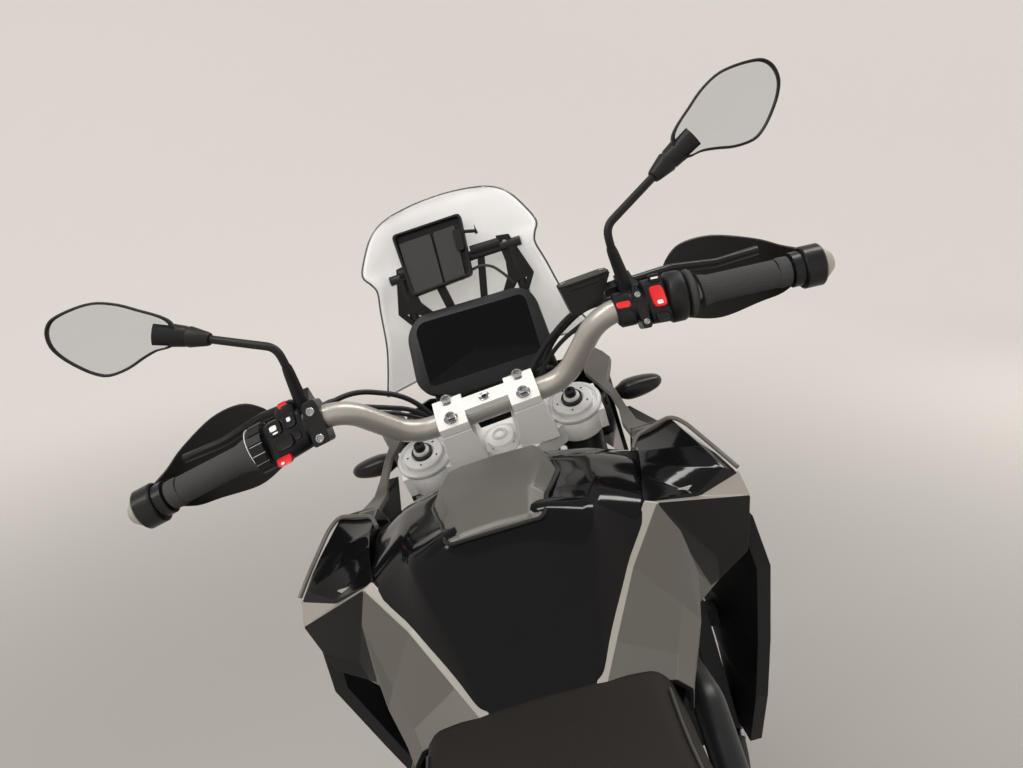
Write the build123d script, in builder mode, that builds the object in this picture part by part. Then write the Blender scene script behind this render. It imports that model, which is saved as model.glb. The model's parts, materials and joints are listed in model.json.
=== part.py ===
"""Adventure motorcycle, parked on its side stand.

Every piece is drawn on the upright machine: X points forward from the rear axle, Y to the
rider's left and Z up from the ground, in millimetres. Pieces that turn with the handlebar are
drawn in the steering frame instead: u (x) forward across the steering axis, v (y) to the left
and w (z) up along that axis, with its origin where the axis meets the top of the upper yoke.
At the end the steering is turned, the whole machine is leaned onto its stand and the origin
is put on the ground below the middle of the machine's box.
"""

import math
import os

from build123d import *

# ---------------------------------------------------------------- driving dimensions
WHEELBASE = 1593.0
HEAD_RAKE = 28.0  # steering axis back from vertical, degrees
TRAIL = 126.0
YOKE_HEIGHT = 1035.0  # where the steering axis meets the top of the upper yoke
AXLE_LEAD = 51.7  # front axle ahead of the steering axis
LEAN = 11.0  # degrees to the left on the side stand
STEER_REST = 4.1  # degrees to the left as parked

FIT = 0.3  # gap between pieces that are fixed together
RUN = 0.08  # radial gap of a shaft that turns

FRONT_RADIUS, FRONT_WIDTH, FRONT_SHOULDER = 347.0, 90.0, 34.0
FRONT_BEAD_RADIUS, FRONT_RIM_WIDTH = 266.7, 54.6
REAR_RADIUS, REAR_WIDTH, REAR_SHOULDER = 321.0, 150.0, 42.0
REAR_BEAD_RADIUS, REAR_RIM_WIDTH = 215.9, 108.0
RIM_FLANGE = 12.0
RIM_WALL = 7.0
SPOKE_RADIUS = 2.2
SPOKES_PER_SIDE = 16

FRONT_AXLE_RADIUS, REAR_AXLE_RADIUS = 12.5, 12.5
FRONT_HUB_HALF, REAR_HUB_HALF = 46.0, 74.0
HUB_FLANGE_RADIUS = 52.0
DISC_THICKNESS = 5.0
FRONT_DISC_RADIUS, FRONT_DISC_Y = 152.5, 56.0
REAR_DISC_RADIUS, REAR_DISC_Y = 132.5, 92.0
SPROCKET_RADIUS, SPROCKET_Y, SPROCKET_THICKNESS = 106.0, 92.0, 7.0

FORK_LEAD = 20.0  # fork centre line ahead of the steering axis
FORK_HALF_SPAN = 105.0
FORK_TUBE_RADIUS, FORK_LEG_RADIUS = 27.0, 21.5
FORK_TUBE_END = -455.0
YOKE_THICKNESS = 34.0
LOWER_YOKE_TOP = -188.0
LOWER_YOKE_THICKNESS = 36.0
HEAD_TUBE_RADIUS, STEM_RADIUS = 34.0, 18.0

BAR_RADIUS, BAR_END_RADIUS = 14.3, 11.1
BAR_HEIGHT = 62.0  # bar centre above the yoke
BAR_CLAMP_HALF_SPAN = 47.5
BAR_CLAMP_HALF_WIDTH = 19.0
BAR_BRIDGE_REACH = (-8.0, 15.0)  # the bridge between the two clamp blocks, along u

SWINGARM_PIVOT = (560.0, 0.0, 400.0)
TAN_LEAN = math.tan(math.radians(LEAN))

# ---------------------------------------------------------------- frames of reference
rake, lean, steer = (math.radians(a) for a in (HEAD_RAKE, LEAN, STEER_REST))
HEAD_X = WHEELBASE + TRAIL - YOKE_HEIGHT * math.tan(rake)
STEERING_PLANE = Plane(
    origin=(HEAD_X, 0, YOKE_HEIGHT),
    x_dir=(math.cos(rake), 0, math.sin(rake)),
    z_dir=(-math.sin(rake), 0, math.cos(rake)),
)


def crown_radius(width, shoulder):
    """Radius of the tread arc of a tyre of that width whose tread falls by shoulder."""
    return (shoulder**2 + (width / 2) ** 2) / (2 * shoulder)


def front_axle_drop():
    """Distance from the yoke's top down to the front axle that puts the leaned tyre on the ground."""
    crown = crown_radius(FRONT_WIDTH, FRONT_SHOULDER)
    tilt = -math.cos(steer) * math.sin(lean) - math.sin(rake) * math.sin(steer) * math.cos(lean)
    height = (FRONT_RADIUS - crown) * math.sqrt(1 - tilt**2) + crown
    axle_z = height / math.cos(lean) + AXLE_LEAD * math.sin(steer) * math.tan(lean)
    return (YOKE_HEIGHT + math.sin(rake) * AXLE_LEAD * math.cos(steer) - axle_z) / math.cos(rake)


FRONT_AXLE_W = -front_axle_drop()
rear_crown = crown_radius(REAR_WIDTH, REAR_SHOULDER)
REAR_AXLE_Z = REAR_RADIUS - rear_crown + rear_crown / math.cos(lean)
FRONT_HUB = Location((AXLE_LEAD, 0, FRONT_AXLE_W))
REAR_HUB = Location((0, 0, REAR_AXLE_Z))

pieces = {}  # name: (part, rides with the steering)


def keep(name, builder, steered=False):
    """Labels a finished sub-part and stores it for export."""
    builder.part.label = name
    pieces[name] = (builder.part, steered)


# ---------------------------------------------------------------- drawing helpers
def outline(plane, points):
    """A flat face with straight edges on plane."""
    with BuildSketch(plane) as face:
        with BuildLine():
            Polyline(*points, close=True)
        make_face()
    return face.sketch


def prism(plane, points, amount, both=False, mode=Mode.ADD):
    """Adds a straight-sided block with that outline to the part in hand."""
    return extrude(outline(plane, points), amount=amount, both=both, mode=mode)


def skin(stations, mode=Mode.ADD):
    """Adds a body through outlines given as (plane, points) pairs, with straight rulings."""
    return loft([outline(plane, points).face() for plane, points in stations], ruled=True, mode=mode)


def symmetric(half):
    """Closes a half outline, listed from the middle at the top to the middle at the bottom."""
    return list(half) + [(-y, z) for y, z in reversed(half) if abs(y) > 1e-6]


def rod(points, radius, bend=0.0, mode=Mode.ADD):
    """Adds a round bar along points, with its corners bent to radius bend."""
    with BuildLine() as path:
        if bend:
            FilletPolyline(*points, radius=bend)
        else:
            Polyline(*points)
    with BuildSketch(Plane(origin=path.line @ 0, z_dir=path.line % 0)) as section:
        Circle(radius)
    return sweep(sections=section.sketch, path=path.line, transition=Transition.ROUND, mode=mode)


def barrel(start, end, radius, end_radius=None, mode=Mode.ADD):
    """Adds a cylinder or cone from start to end."""
    axis = Vector(*end) - Vector(*start)
    placed = Plane(origin=start, z_dir=axis).location
    with Locations(placed):
        if end_radius is None:
            return Cylinder(radius, axis.length, align=(Align.CENTER, Align.CENTER, Align.MIN), mode=mode)
        return Cone(
            radius, end_radius, axis.length, align=(Align.CENTER, Align.CENTER, Align.MIN), mode=mode
        )


def block(low, high, mode=Mode.ADD):
    """Adds a box between two corners."""
    size = [b - a for a, b in zip(low, high)]
    with Locations(tuple((a + b) / 2 for a, b in zip(low, high))):
        return Box(*size, mode=mode)


def side_block(side, low, high, mode=Mode.ADD):
    """Adds a box drawn on the left, on the side given as 1 or -1."""
    (x0, y0, z0), (x1, y1, z1) = low, high
    near, far = sorted((side * y0, side * y1))
    return block((x0, near, z0), (x1, far, z1), mode)


def trim(*names):
    """Cuts the named finished pieces out of the part in hand."""
    for name in names:
        add(pieces[name][0], mode=Mode.SUBTRACT)


# ---------------------------------------------------------------- wheels, on the axle at the origin
def tyre(radius, width, shoulder, bead_radius, rim_width):
    """Adds a tyre that turns about Y."""
    half, bead = width / 2, rim_width / 2
    with BuildSketch(Plane.YZ) as section:
        with BuildLine():
            for side in (1, -1):
                Line(
                    (side * (bead - FIT), bead_radius + FIT),
                    (side * (bead - FIT), bead_radius + RIM_FLANGE + 2),
                )
                Line(
                    (side * (bead - FIT), bead_radius + RIM_FLANGE + 2),
                    (side * (bead + RIM_WALL), bead_radius + RIM_FLANGE + 4),
                )
                Line(
                    (side * (bead + RIM_WALL), bead_radius + RIM_FLANGE + 4),
                    (side * half, radius - shoulder),
                )
            ThreePointArc((-half, radius - shoulder), (0, radius), (half, radius - shoulder))
            Line((-bead + FIT, bead_radius + FIT), (bead - FIT, bead_radius + FIT))
        make_face()
    revolve(section.sketch, axis=Axis.Y)


def wire_wheel(bead_radius, rim_width, hub_half, axle_radius, spoke_foot, spoke_head):
    """Adds a rim, a hub and crossed spokes that turn about Y."""
    bead = rim_width / 2
    edge = bead + RIM_WALL
    well = bead_radius - 22
    rim = [(bead, bead_radius), (bead, bead_radius + RIM_FLANGE), (edge, bead_radius + RIM_FLANGE)]
    rim += [(edge, bead_radius - 4), (bead * 0.45, well)]
    with BuildSketch(Plane.YZ) as section:
        with BuildLine():
            Polyline(*rim, *[(-y, r) for y, r in reversed(rim)], close=True)
        make_face()
    revolve(section.sketch, axis=Axis.Y)
    flange = spoke_foot + 4
    half = [(hub_half, axle_radius + RUN), (hub_half, 30), (flange, 30), (flange, HUB_FLANGE_RADIUS)]
    half += [(flange - 9, HUB_FLANGE_RADIUS), (flange - 14, 28), (0, 26)]
    with BuildSketch(Plane.YZ) as section:
        with BuildLine():
            Polyline(*half, *[(-y, r) for y, r in reversed(half[:-1])], close=True)
        make_face()
    revolve(section.sketch, axis=Axis.Y)
    step = 360 / SPOKES_PER_SIDE
    start, stop = HUB_FLANGE_RADIUS - 5, bead_radius - 12
    seats = []
    for side in (1, -1):
        for n in range(SPOKES_PER_SIDE):
            a = math.radians(step * (n + side * 0.25))
            b = a + math.radians(step * 1.5 * (1 if n % 2 else -1))
            foot = Vector(start * math.cos(a), side * spoke_foot, start * math.sin(a))
            head = Vector(stop * math.cos(b), side * spoke_head, stop * math.sin(b))
            seats.append(Plane(origin=foot, z_dir=head - foot).location)
            length = (head - foot).length
    with Locations(*seats):
        Cylinder(SPOKE_RADIUS, length, align=(Align.CENTER, Align.CENTER, Align.MIN))


def brake_disc(side_y, radius, band, hub_radius):
    """Adds a brake disc about Y, centred at side_y, carried on six arms."""
    face = Plane.XZ.offset(-side_y - DISC_THICKNESS / 2)
    with BuildSketch(face) as section:
        Circle(radius)
        Circle(radius - band, mode=Mode.SUBTRACT)
        Circle(hub_radius + 12)
        Circle(hub_radius, mode=Mode.SUBTRACT)
        with PolarLocations((radius - band + hub_radius + 12) / 2, 6):
            Rectangle(radius - band - hub_radius - 8, 16)
        with PolarLocations(radius - band / 2, 24):
            Circle(4, mode=Mode.SUBTRACT)
    extrude(section.sketch, amount=DISC_THICKNESS)


with BuildPart() as front_tyre:
    tyre(FRONT_RADIUS, FRONT_WIDTH, FRONT_SHOULDER, FRONT_BEAD_RADIUS, FRONT_RIM_WIDTH)
front_tyre.part.locate(FRONT_HUB)
keep("front_tyre", front_tyre, steered=True)

with BuildPart() as front_wheel:
    wire_wheel(FRONT_BEAD_RADIUS, FRONT_RIM_WIDTH, FRONT_HUB_HALF, FRONT_AXLE_RADIUS, 34.0, 14.0)
front_wheel.part.locate(FRONT_HUB)
keep("front_wheel", front_wheel, steered=True)

with BuildPart() as front_discs:
    for side in (1, -1):
        brake_disc(side * FRONT_DISC_Y, FRONT_DISC_RADIUS, 34.0, 30.0 + FIT)
        barrel((0, side * (38 + FIT), 0), (0, side * (FRONT_DISC_Y - DISC_THICKNESS / 2), 0), 44)
        barrel((0, side * 38, 0), (0, side * FRONT_DISC_Y, 0), 30 + FIT, mode=Mode.SUBTRACT)
front_discs.part.locate(FRONT_HUB)
keep("front_discs", front_discs, steered=True)

with BuildPart() as rear_tyre:
    tyre(REAR_RADIUS, REAR_WIDTH, REAR_SHOULDER, REAR_BEAD_RADIUS, REAR_RIM_WIDTH)
rear_tyre.part.locate(REAR_HUB)
keep("rear_tyre", rear_tyre)

with BuildPart() as rear_wheel:
    wire_wheel(REAR_BEAD_RADIUS, REAR_RIM_WIDTH, REAR_HUB_HALF, REAR_AXLE_RADIUS, 58.0, 26.0)
rear_wheel.part.locate(REAR_HUB)
keep("rear_wheel", rear_wheel)

with BuildPart() as rear_disc:
    brake_disc(-REAR_DISC_Y, REAR_DISC_RADIUS, 30.0, 30.0 + FIT)
    barrel((0, -62 - FIT, 0), (0, -REAR_DISC_Y + DISC_THICKNESS / 2, 0), 44)
    barrel((0, -62, 0), (0, -REAR_DISC_Y, 0), 30 + FIT, mode=Mode.SUBTRACT)
rear_disc.part.locate(REAR_HUB)
keep("rear_disc", rear_disc)

with BuildPart() as rear_sprocket:
    with BuildSketch(Plane.XZ.offset(-SPROCKET_Y - SPROCKET_THICKNESS / 2)) as section:
        Circle(SPROCKET_RADIUS)
        Circle(30 + FIT, mode=Mode.SUBTRACT)
        with PolarLocations(68, 6):
            Circle(17, mode=Mode.SUBTRACT)
    extrude(section.sketch, amount=SPROCKET_THICKNESS)
    barrel((0, 62 + FIT, 0), (0, SPROCKET_Y - SPROCKET_THICKNESS / 2, 0), 46)
    barrel((0, 62, 0), (0, SPROCKET_Y, 0), 30 + FIT, mode=Mode.SUBTRACT)
rear_sprocket.part.locate(REAR_HUB)
keep("rear_sprocket", rear_sprocket)

# ---------------------------------------------------------------- turning with the handlebar
FORK_AXIS = [(FORK_LEAD, side * FORK_HALF_SPAN) for side in (1, -1)]
YOKE_LOW = -YOKE_THICKNESS
LOWER_YOKE_LOW = LOWER_YOKE_TOP - LOWER_YOKE_THICKNESS
FORK_CAP_TOP = 9.0
FORK_TIP = FRONT_AXLE_W - 22
BAR_MIDDLE = (4.0, BAR_HEIGHT)
CLAMP_SPLIT = 2.0
RISER_HALF = 26.0
BAR_ROUTE = [
    (-16.0, 430.0, 116.0),
    (0.0, 165.0, 147.0),
    (4.0, 102.0, BAR_HEIGHT),
]
GRIP_INNER, GRIP_OUTER = 280.0, 396.0

with BuildPart() as bottom_yoke:
    half = [(-26, 0), (-26, 34), (-2, 78), (-2, 144), (42, 144), (62, 92), (62, 0)]
    prism(Plane.XY.offset(LOWER_YOKE_LOW), half + [(u, -v) for u, v in half[-2:0:-1]], LOWER_YOKE_THICKNESS)
    for u, v in FORK_AXIS:
        barrel((u, v, LOWER_YOKE_LOW), (u, v, LOWER_YOKE_TOP), FORK_TUBE_RADIUS + 9)
        barrel((u, v, LOWER_YOKE_LOW), (u, v, LOWER_YOKE_TOP), FORK_TUBE_RADIUS, mode=Mode.SUBTRACT)
    barrel((0, 0, LOWER_YOKE_LOW), (0, 0, 12), STEM_RADIUS)
keep("bottom_yoke", bottom_yoke, steered=True)

with BuildPart() as top_yoke:
    half = [(-30, 0), (-30, 40), (-6, 84), (-6, 140), (46, 140), (52, 84), (38, 40), (38, 0)]
    prism(Plane.XY.offset(YOKE_LOW), half + [(u, -v) for u, v in half[-2:0:-1]], YOKE_THICKNESS)
    for side in (1, -1):
        v = side * BAR_CLAMP_HALF_SPAN
        with BuildSketch(Plane.XY) as foot:
            with Locations((BAR_MIDDLE[0], v)):
                Rectangle(2 * RISER_HALF + 10, 2 * BAR_CLAMP_HALF_WIDTH + 14)
        with BuildSketch(Plane.XY.offset(BAR_HEIGHT - CLAMP_SPLIT / 2)) as seat:
            with Locations((BAR_MIDDLE[0], v)):
                Rectangle(2 * RISER_HALF, 2 * BAR_CLAMP_HALF_WIDTH)
        loft([foot.sketch.face(), seat.sketch.face()])
    barrel(
        (BAR_MIDDLE[0], -80, BAR_HEIGHT), (BAR_MIDDLE[0], 80, BAR_HEIGHT), BAR_RADIUS, mode=Mode.SUBTRACT
    )
    for u, v in FORK_AXIS:
        barrel((u, v, YOKE_LOW), (u, v, 0), FORK_TUBE_RADIUS + 9)
        barrel((u, v, YOKE_LOW), (u, v, 0), FORK_TUBE_RADIUS, mode=Mode.SUBTRACT)
    barrel((0, 0, YOKE_LOW), (0, 0, 0), STEM_RADIUS, mode=Mode.SUBTRACT)
keep("top_yoke", top_yoke, steered=True)

with BuildPart() as bar_clamp:
    split, cap = BAR_HEIGHT + CLAMP_SPLIT / 2, 20.0
    profile = [(-RISER_HALF, 0), (RISER_HALF, 0), (RISER_HALF, cap - 6), (RISER_HALF - 8, cap)]
    profile += [(8 - RISER_HALF, cap - 2), (-RISER_HALF, cap - 8)]
    for side in (1, -1):
        middle = Plane(
            origin=(BAR_MIDDLE[0], side * BAR_CLAMP_HALF_SPAN, split), x_dir=(1, 0, 0), z_dir=(0, -1, 0)
        )
        prism(middle, profile, BAR_CLAMP_HALF_WIDTH, both=True)
    low, high = BAR_BRIDGE_REACH
    block((low, -BAR_CLAMP_HALF_SPAN, BAR_HEIGHT + 10), (high, BAR_CLAMP_HALF_SPAN, split + cap - 1))
    barrel(
        (BAR_MIDDLE[0], -90, BAR_HEIGHT), (BAR_MIDDLE[0], 90, BAR_HEIGHT), BAR_RADIUS, mode=Mode.SUBTRACT
    )
keep("bar_clamp", bar_clamp, steered=True)

with BuildPart() as handlebar:
    right = [(u, -v, w) for u, v, w in BAR_ROUTE]
    rod(right + BAR_ROUTE[::-1], BAR_RADIUS, bend=55)
    for side in (1, -1):
        end, bend = ((u, side * v, w) for u, v, w in BAR_ROUTE[:2])
        run = Vector(*bend) - Vector(*end)
        start = Vector(*end) + run * ((BAR_ROUTE[0][1] - GRIP_INNER + 45) / run.length)
        barrel(end, tuple(start), BAR_RADIUS + 3, mode=Mode.SUBTRACT)
        barrel(end, tuple(start + run.normalized() * 2), BAR_END_RADIUS)
keep("handlebar", handlebar, steered=True)


def along_bar(v):
    """The bar's centre in the straight outer run at that signed v."""
    (u0, v0, w0), (u1, v1, w1) = BAR_ROUTE[:2]
    share = (abs(v) - v0) / (v1 - v0)
    return (u0 + share * (u1 - u0), v, w0 + share * (w1 - w0))


def sleeve(inner_v, outer_v, radius, bore=BAR_END_RADIUS, end_radius=None):
    """Adds a tube on the bar between two places along it."""
    barrel(along_bar(inner_v), along_bar(outer_v), radius, end_radius)
    barrel(along_bar(inner_v * 0.98), along_bar(outer_v * 1.02), bore, mode=Mode.SUBTRACT)


GRIP_RADIUS, GRIP_FLANGE_RADIUS, GRIP_FLANGE = 17.0, 29.0, 6.0
SWITCH_INNER, SWITCH_OUTER = 222.0, 268.0
WEIGHT_RADIUS, WEIGHT_NECK = 26.0, 14.0
MIRROR_FOOT = 164.0

with BuildPart() as grips:
    for side in (1, -1):
        sleeve(side * GRIP_INNER, side * GRIP_OUTER, GRIP_RADIUS)
        sleeve(side * (GRIP_INNER - GRIP_FLANGE), side * GRIP_INNER, GRIP_FLANGE_RADIUS)
keep("grips", grips, steered=True)

with BuildPart() as bar_weights:
    drum, tip = GRIP_OUTER + WEIGHT_NECK, GRIP_OUTER + WEIGHT_NECK + 26
    for side in (1, -1):
        barrel(along_bar(side * (GRIP_OUTER + FIT)), along_bar(side * drum), GRIP_RADIUS)
        barrel(along_bar(side * drum), along_bar(side * tip), WEIGHT_RADIUS)
        barrel(along_bar(side * tip), along_bar(side * (tip + 16)), WEIGHT_RADIUS - 5, WEIGHT_RADIUS / 2)
    trim("handlebar")
keep("bar_weights", bar_weights, steered=True)

with BuildPart() as switchgear:
    for side in (1, -1):
        u, v, w = along_bar(side * (SWITCH_INNER + SWITCH_OUTER) / 2)
        with BuildSketch(Plane.XZ.offset(-side * SWITCH_INNER)) as inner:
            with Locations((u + 2, w - 2)):
                RectangleRounded(46, 44, 8)
        with BuildSketch(Plane.XZ.offset(-side * SWITCH_OUTER)) as outer:
            with Locations((u + 2, w - 4)):
                RectangleRounded(50, 54, 8)
        loft([inner.sketch.face(), outer.sketch.face()])
        sleeve(side * 150, side * 290, BAR_RADIUS - 6, bore=BAR_RADIUS - 5.9)
        barrel(along_bar(side * 190), along_bar(side * 300), BAR_RADIUS, mode=Mode.SUBTRACT)
keep("switchgear", switchgear, steered=True)

PERCH_INNER, PERCH_OUTER = 200.0, 220.0
FLUID_TOP = (60.0, -164.0, 158.6)  # middle of the brake reservoir's lid, which lies level
LEVER_TIP = 385  # how far out the levers reach
with BuildPart() as hand_levers:
    for side in (1, -1):
        u, v, w = along_bar(side * PERCH_INNER)
        barrel(along_bar(side * PERCH_INNER), along_bar(side * PERCH_OUTER), BAR_RADIUS + 7)
        side_block(side, (u + 12, PERCH_INNER, w - 12), (u + 52, PERCH_OUTER, w + 12))
        barrel((10, side * 208, w), (10, side * 208, MIRROR_FOOT), 12)
        lever = [(u + 46, side * 212, w), (u + 60, side * 275, w - 14)]
        lever += [(u + 52, side * 330, w - 24), (u + 52, side * LEVER_TIP, w - 28)]
        rod(lever, 6.0, bend=24)
        barrel(along_bar(side * 185), along_bar(side * 225), BAR_RADIUS, mode=Mode.SUBTRACT)
    level = Plane(
        origin=FLUID_TOP,
        x_dir=(math.cos(rake), 0, -math.sin(rake)),
        z_dir=(math.sin(rake), 0, math.cos(rake)),
    )
    with BuildSketch(level) as lid:
        Rectangle(40, 64)
    with BuildSketch(level.offset(-36)) as foot:
        with Locations((0, 9)):
            Rectangle(34, 36)
    loft([lid.sketch.face(), foot.sketch.face()])
    block((34, -206, 138), (48, -184, 150))
    trim("handlebar", "switchgear")
keep("hand_levers", hand_levers, steered=True)

with BuildPart() as handguards:
    # columns: u, v, w, half height
    GUARD = [
        (84, 272, 78, 36), (92, 300, 74, 63), (98, 345, 58, 70), (94, 400, 48, 54), (80, 432, 46, 40),
        (62, 450, 62, 24),
    ]
    for side in (1, -1):
        stations = []
        for u, v, w, half in GUARD:
            plane = Plane(origin=(u, side * v, w), x_dir=(1, 0, 0), z_dir=(0, side, 0))
            high = -side * half
            outer = [(0, -high), (8, -high * 0.5), (8, high * 0.5), (0, high)]
            stations.append((plane, outer + [(x - 5, y) for x, y in outer[::-1]]))
        skin(stations)
        u, v, w = along_bar(side * (GRIP_OUTER + WEIGHT_NECK / 2))
        ring = [(u + GRIP_RADIUS + 5, v, w - 6), (52, side * 440, 74), (62, side * 448, 62)]
        rod(ring, 5)
        sleeve(
            side * (GRIP_OUTER + 1), side * (GRIP_OUTER + WEIGHT_NECK - FIT), GRIP_RADIUS + 4,
            bore=GRIP_RADIUS + FIT,
        )
        rod([(86, side * 280, 88), (72, side * 236, 106), (40, side * 210, 134)], 5)
    trim("hand_levers", "bar_weights", "handlebar", "switchgear")
keep("handguards", handguards, steered=True)

# mirror: ball joint, middle of the glass and the way the head's front faces, on the left
MIRROR_BALL = Vector(72, 297, 267)
GLASS_MIDDLE = Vector(52, 378, 280)
GLASS_AHEAD = Vector(0.855, 0.205, -0.476)
GLASS_DEPTH = 26.0
# rim of the glass: outward along the plane of the glass and up it
GLASS = [(-66, 30), (-30, 61), (8, 74), (45, 68), (56, 40), (39, 9), (12, -13), (-30, -8), (-62, -8)]
STEM = [(10, 208, MIRROR_FOOT + FIT), (17, 199, 219), (27, 201, 241), tuple(MIRROR_BALL)]


def glass_plane(side):
    """Plane of that side's mirror glass, x outward and y up."""
    ahead = Vector(GLASS_AHEAD.X, side * GLASS_AHEAD.Y, GLASS_AHEAD.Z)
    out = Vector(0, side, 0) - ahead * (side * ahead.Y / ahead.dot(ahead))
    origin = Vector(GLASS_MIDDLE.X, side * GLASS_MIDDLE.Y, GLASS_MIDDLE.Z)
    return Plane(origin=origin, x_dir=out, z_dir=ahead * side)


with BuildPart() as mirrors:
    for side in (1, -1):
        stem = [(u, side * v, w) for u, v, w in STEM]
        rod(stem, 6.0, bend=12)
        barrel(stem[0], stem[1], 11, 8)
        glass = glass_plane(side)
        rim = glass, GLASS
        waist = glass.offset(side * GLASS_DEPTH * 0.5), [(a * 0.94, 30 + (b - 30) * 0.94) for a, b in GLASS]
        back = glass.offset(side * GLASS_DEPTH), [(a * 0.6 - 6, 30 + (b - 30) * 0.6) for a, b in GLASS]
        skin([rim, waist, back])
        neck = glass.from_local_coords(Vector(-50, 12, side * GLASS_DEPTH * 0.45))
        barrel(stem[3], tuple(neck), 11, 17)
    trim("hand_levers", "handlebar")
keep("mirrors", mirrors, steered=True)

with BuildPart() as fork_tubes:
    for u, v in FORK_AXIS:
        barrel((u, v, FORK_TUBE_END), (u, v, FORK_CAP_TOP), FORK_TUBE_RADIUS)
        barrel((u, v, FORK_TUBE_END), (u, v, FORK_TUBE_END + 60), FORK_LEG_RADIUS + FIT, mode=Mode.SUBTRACT)
        barrel((u, v, FORK_CAP_TOP), (u, v, FORK_CAP_TOP + 6), 14)
keep("fork_tubes", fork_tubes, steered=True)

with BuildPart() as fork_legs:
    for u, v in FORK_AXIS:
        barrel((u, v, FORK_TIP + 30), (u, v, FORK_TUBE_END + 59), FORK_LEG_RADIUS)
        foot = [
            (u - 20, FORK_TIP + 60), (u + 20, FORK_TIP + 60), (AXLE_LEAD + 22, FORK_TIP + 34),
            (AXLE_LEAD + 22, FORK_TIP),
        ]
        foot += [(AXLE_LEAD - 22, FORK_TIP), (u - 20, FORK_TIP + 30)]
        prism(Plane.XZ.offset(-v), foot, 19, both=True)
        barrel(
            (AXLE_LEAD, v - 30, FRONT_AXLE_W), (AXLE_LEAD, v + 30, FRONT_AXLE_W), FRONT_AXLE_RADIUS,
            mode=Mode.SUBTRACT,
        )
keep("fork_legs", fork_legs, steered=True)

AXLE_SPACER = FRONT_HUB_HALF + 1.0
with BuildPart() as front_axle:
    low = (AXLE_LEAD, -FORK_HALF_SPAN - 27, FRONT_AXLE_W)
    high = (AXLE_LEAD, FORK_HALF_SPAN + 27, FRONT_AXLE_W)
    barrel(low, high, FRONT_AXLE_RADIUS)
    for side in (1, -1):
        barrel(
            (AXLE_LEAD, side * (FRONT_DISC_Y + 6), FRONT_AXLE_W),
            (AXLE_LEAD, side * (FORK_HALF_SPAN - 19 - FIT), FRONT_AXLE_W),
            22,
        )
        barrel(
            (AXLE_LEAD, side * AXLE_SPACER, FRONT_AXLE_W),
            (AXLE_LEAD, side * (FRONT_DISC_Y + 8), FRONT_AXLE_W),
            17,
        )
    barrel(
        (AXLE_LEAD, -FORK_HALF_SPAN - 28, FRONT_AXLE_W),
        (AXLE_LEAD, FORK_HALF_SPAN + 28, FRONT_AXLE_W),
        8,
        mode=Mode.SUBTRACT,
    )
keep("front_axle", front_axle, steered=True)

CALIPER_REACH = 122.0
with BuildPart() as front_calipers:
    angle = math.radians(128)
    cu, cw = AXLE_LEAD + CALIPER_REACH * math.cos(angle), FRONT_AXLE_W + CALIPER_REACH * math.sin(angle)
    for side in (1, -1):
        place = Plane(origin=(cu, 0, cw), x_dir=(math.sin(angle), 0, -math.cos(angle)), z_dir=(0, -side, 0))
        shape = [(-52, -26), (52, -26), (60, 0), (44, 34), (-44, 34), (-60, 0)]
        with BuildSketch(place.offset(-80)) as section:
            with BuildLine():
                Polyline(*[(a, -b) for a, b in shape] if side < 0 else shape, close=True)
            make_face()
        extrude(section.sketch, amount=80 - 41)
        low_y, high_y = sorted((side * (FRONT_DISC_Y - 4.5), side * (FRONT_DISC_Y + 4.5)))
        barrel(
            (AXLE_LEAD, low_y, FRONT_AXLE_W),
            (AXLE_LEAD, high_y, FRONT_AXLE_W),
            FRONT_DISC_RADIUS + 5,
            mode=Mode.SUBTRACT,
        )
        block(
            (cu - 4, min(side * 76, side * 100), cw - 12),
            (FORK_LEAD, max(side * 76, side * 100), cw + 22),
        )
    trim("fork_legs")
keep("front_calipers", front_calipers, steered=True)

with BuildPart() as front_mudguard:
    inner, outer = FRONT_RADIUS + 12, FRONT_RADIUS + 15
    with BuildSketch(Plane.XZ) as arc:
        with Locations((AXLE_LEAD, FRONT_AXLE_W)):
            Circle(outer)
            Circle(inner, mode=Mode.SUBTRACT)
        with BuildLine():
            far = 600
            Polyline(
                (AXLE_LEAD, FRONT_AXLE_W),
                (
                    AXLE_LEAD + far * math.cos(math.radians(30)),
                    FRONT_AXLE_W + far * math.sin(math.radians(30)),
                ),
                (AXLE_LEAD, FRONT_AXLE_W + far * 1.2),
                (
                    AXLE_LEAD + far * math.cos(math.radians(152)),
                    FRONT_AXLE_W + far * math.sin(math.radians(152)),
                ),
                close=True,
            )
        make_face(mode=Mode.INTERSECT)
    extrude(arc.sketch, amount=56, both=True)
    for side in (1, -1):
        side_block(side, (FORK_LEAD - 30, 52, FRONT_AXLE_W + 330), (FORK_LEAD + 30, 84, FRONT_AXLE_W + 366))
    barrel(
        (AXLE_LEAD, -90, FRONT_AXLE_W), (AXLE_LEAD, 90, FRONT_AXLE_W), FRONT_RADIUS + 12, mode=Mode.SUBTRACT
    )
    trim("fork_legs")
    trim("fork_tubes")
keep("front_mudguard", front_mudguard, steered=True)

CABLE_RADIUS = 4.0
with BuildPart() as control_cables:
    # columns: route points in the steering frame
    ROUTES = [
        [
            (66, 196, 132), (92, 160, 118), (92, 100, 66), (72, 74, 12), (66, 70, -44), (46, 66, -92),
            (46, 66, -189),
        ],
        [
            (66, -196, 132), (92, -160, 118), (92, -100, 66), (72, -74, 12), (66, -70, -44),
            (46, -66, -92), (46, -66, -189),
        ],
        [
            (40, 214, 112), (62, 170, 94), (74, 96, 40), (64, 60, -20), (58, 58, -60), (36, 56, -100),
            (36, 56, -189),
        ],
    ]
    for route in ROUTES:
        rod(route, CABLE_RADIUS, bend=14)
    trim("bottom_yoke", "top_yoke", "hand_levers", "switchgear", "handlebar")
keep("control_cables", control_cables, steered=True)

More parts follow.
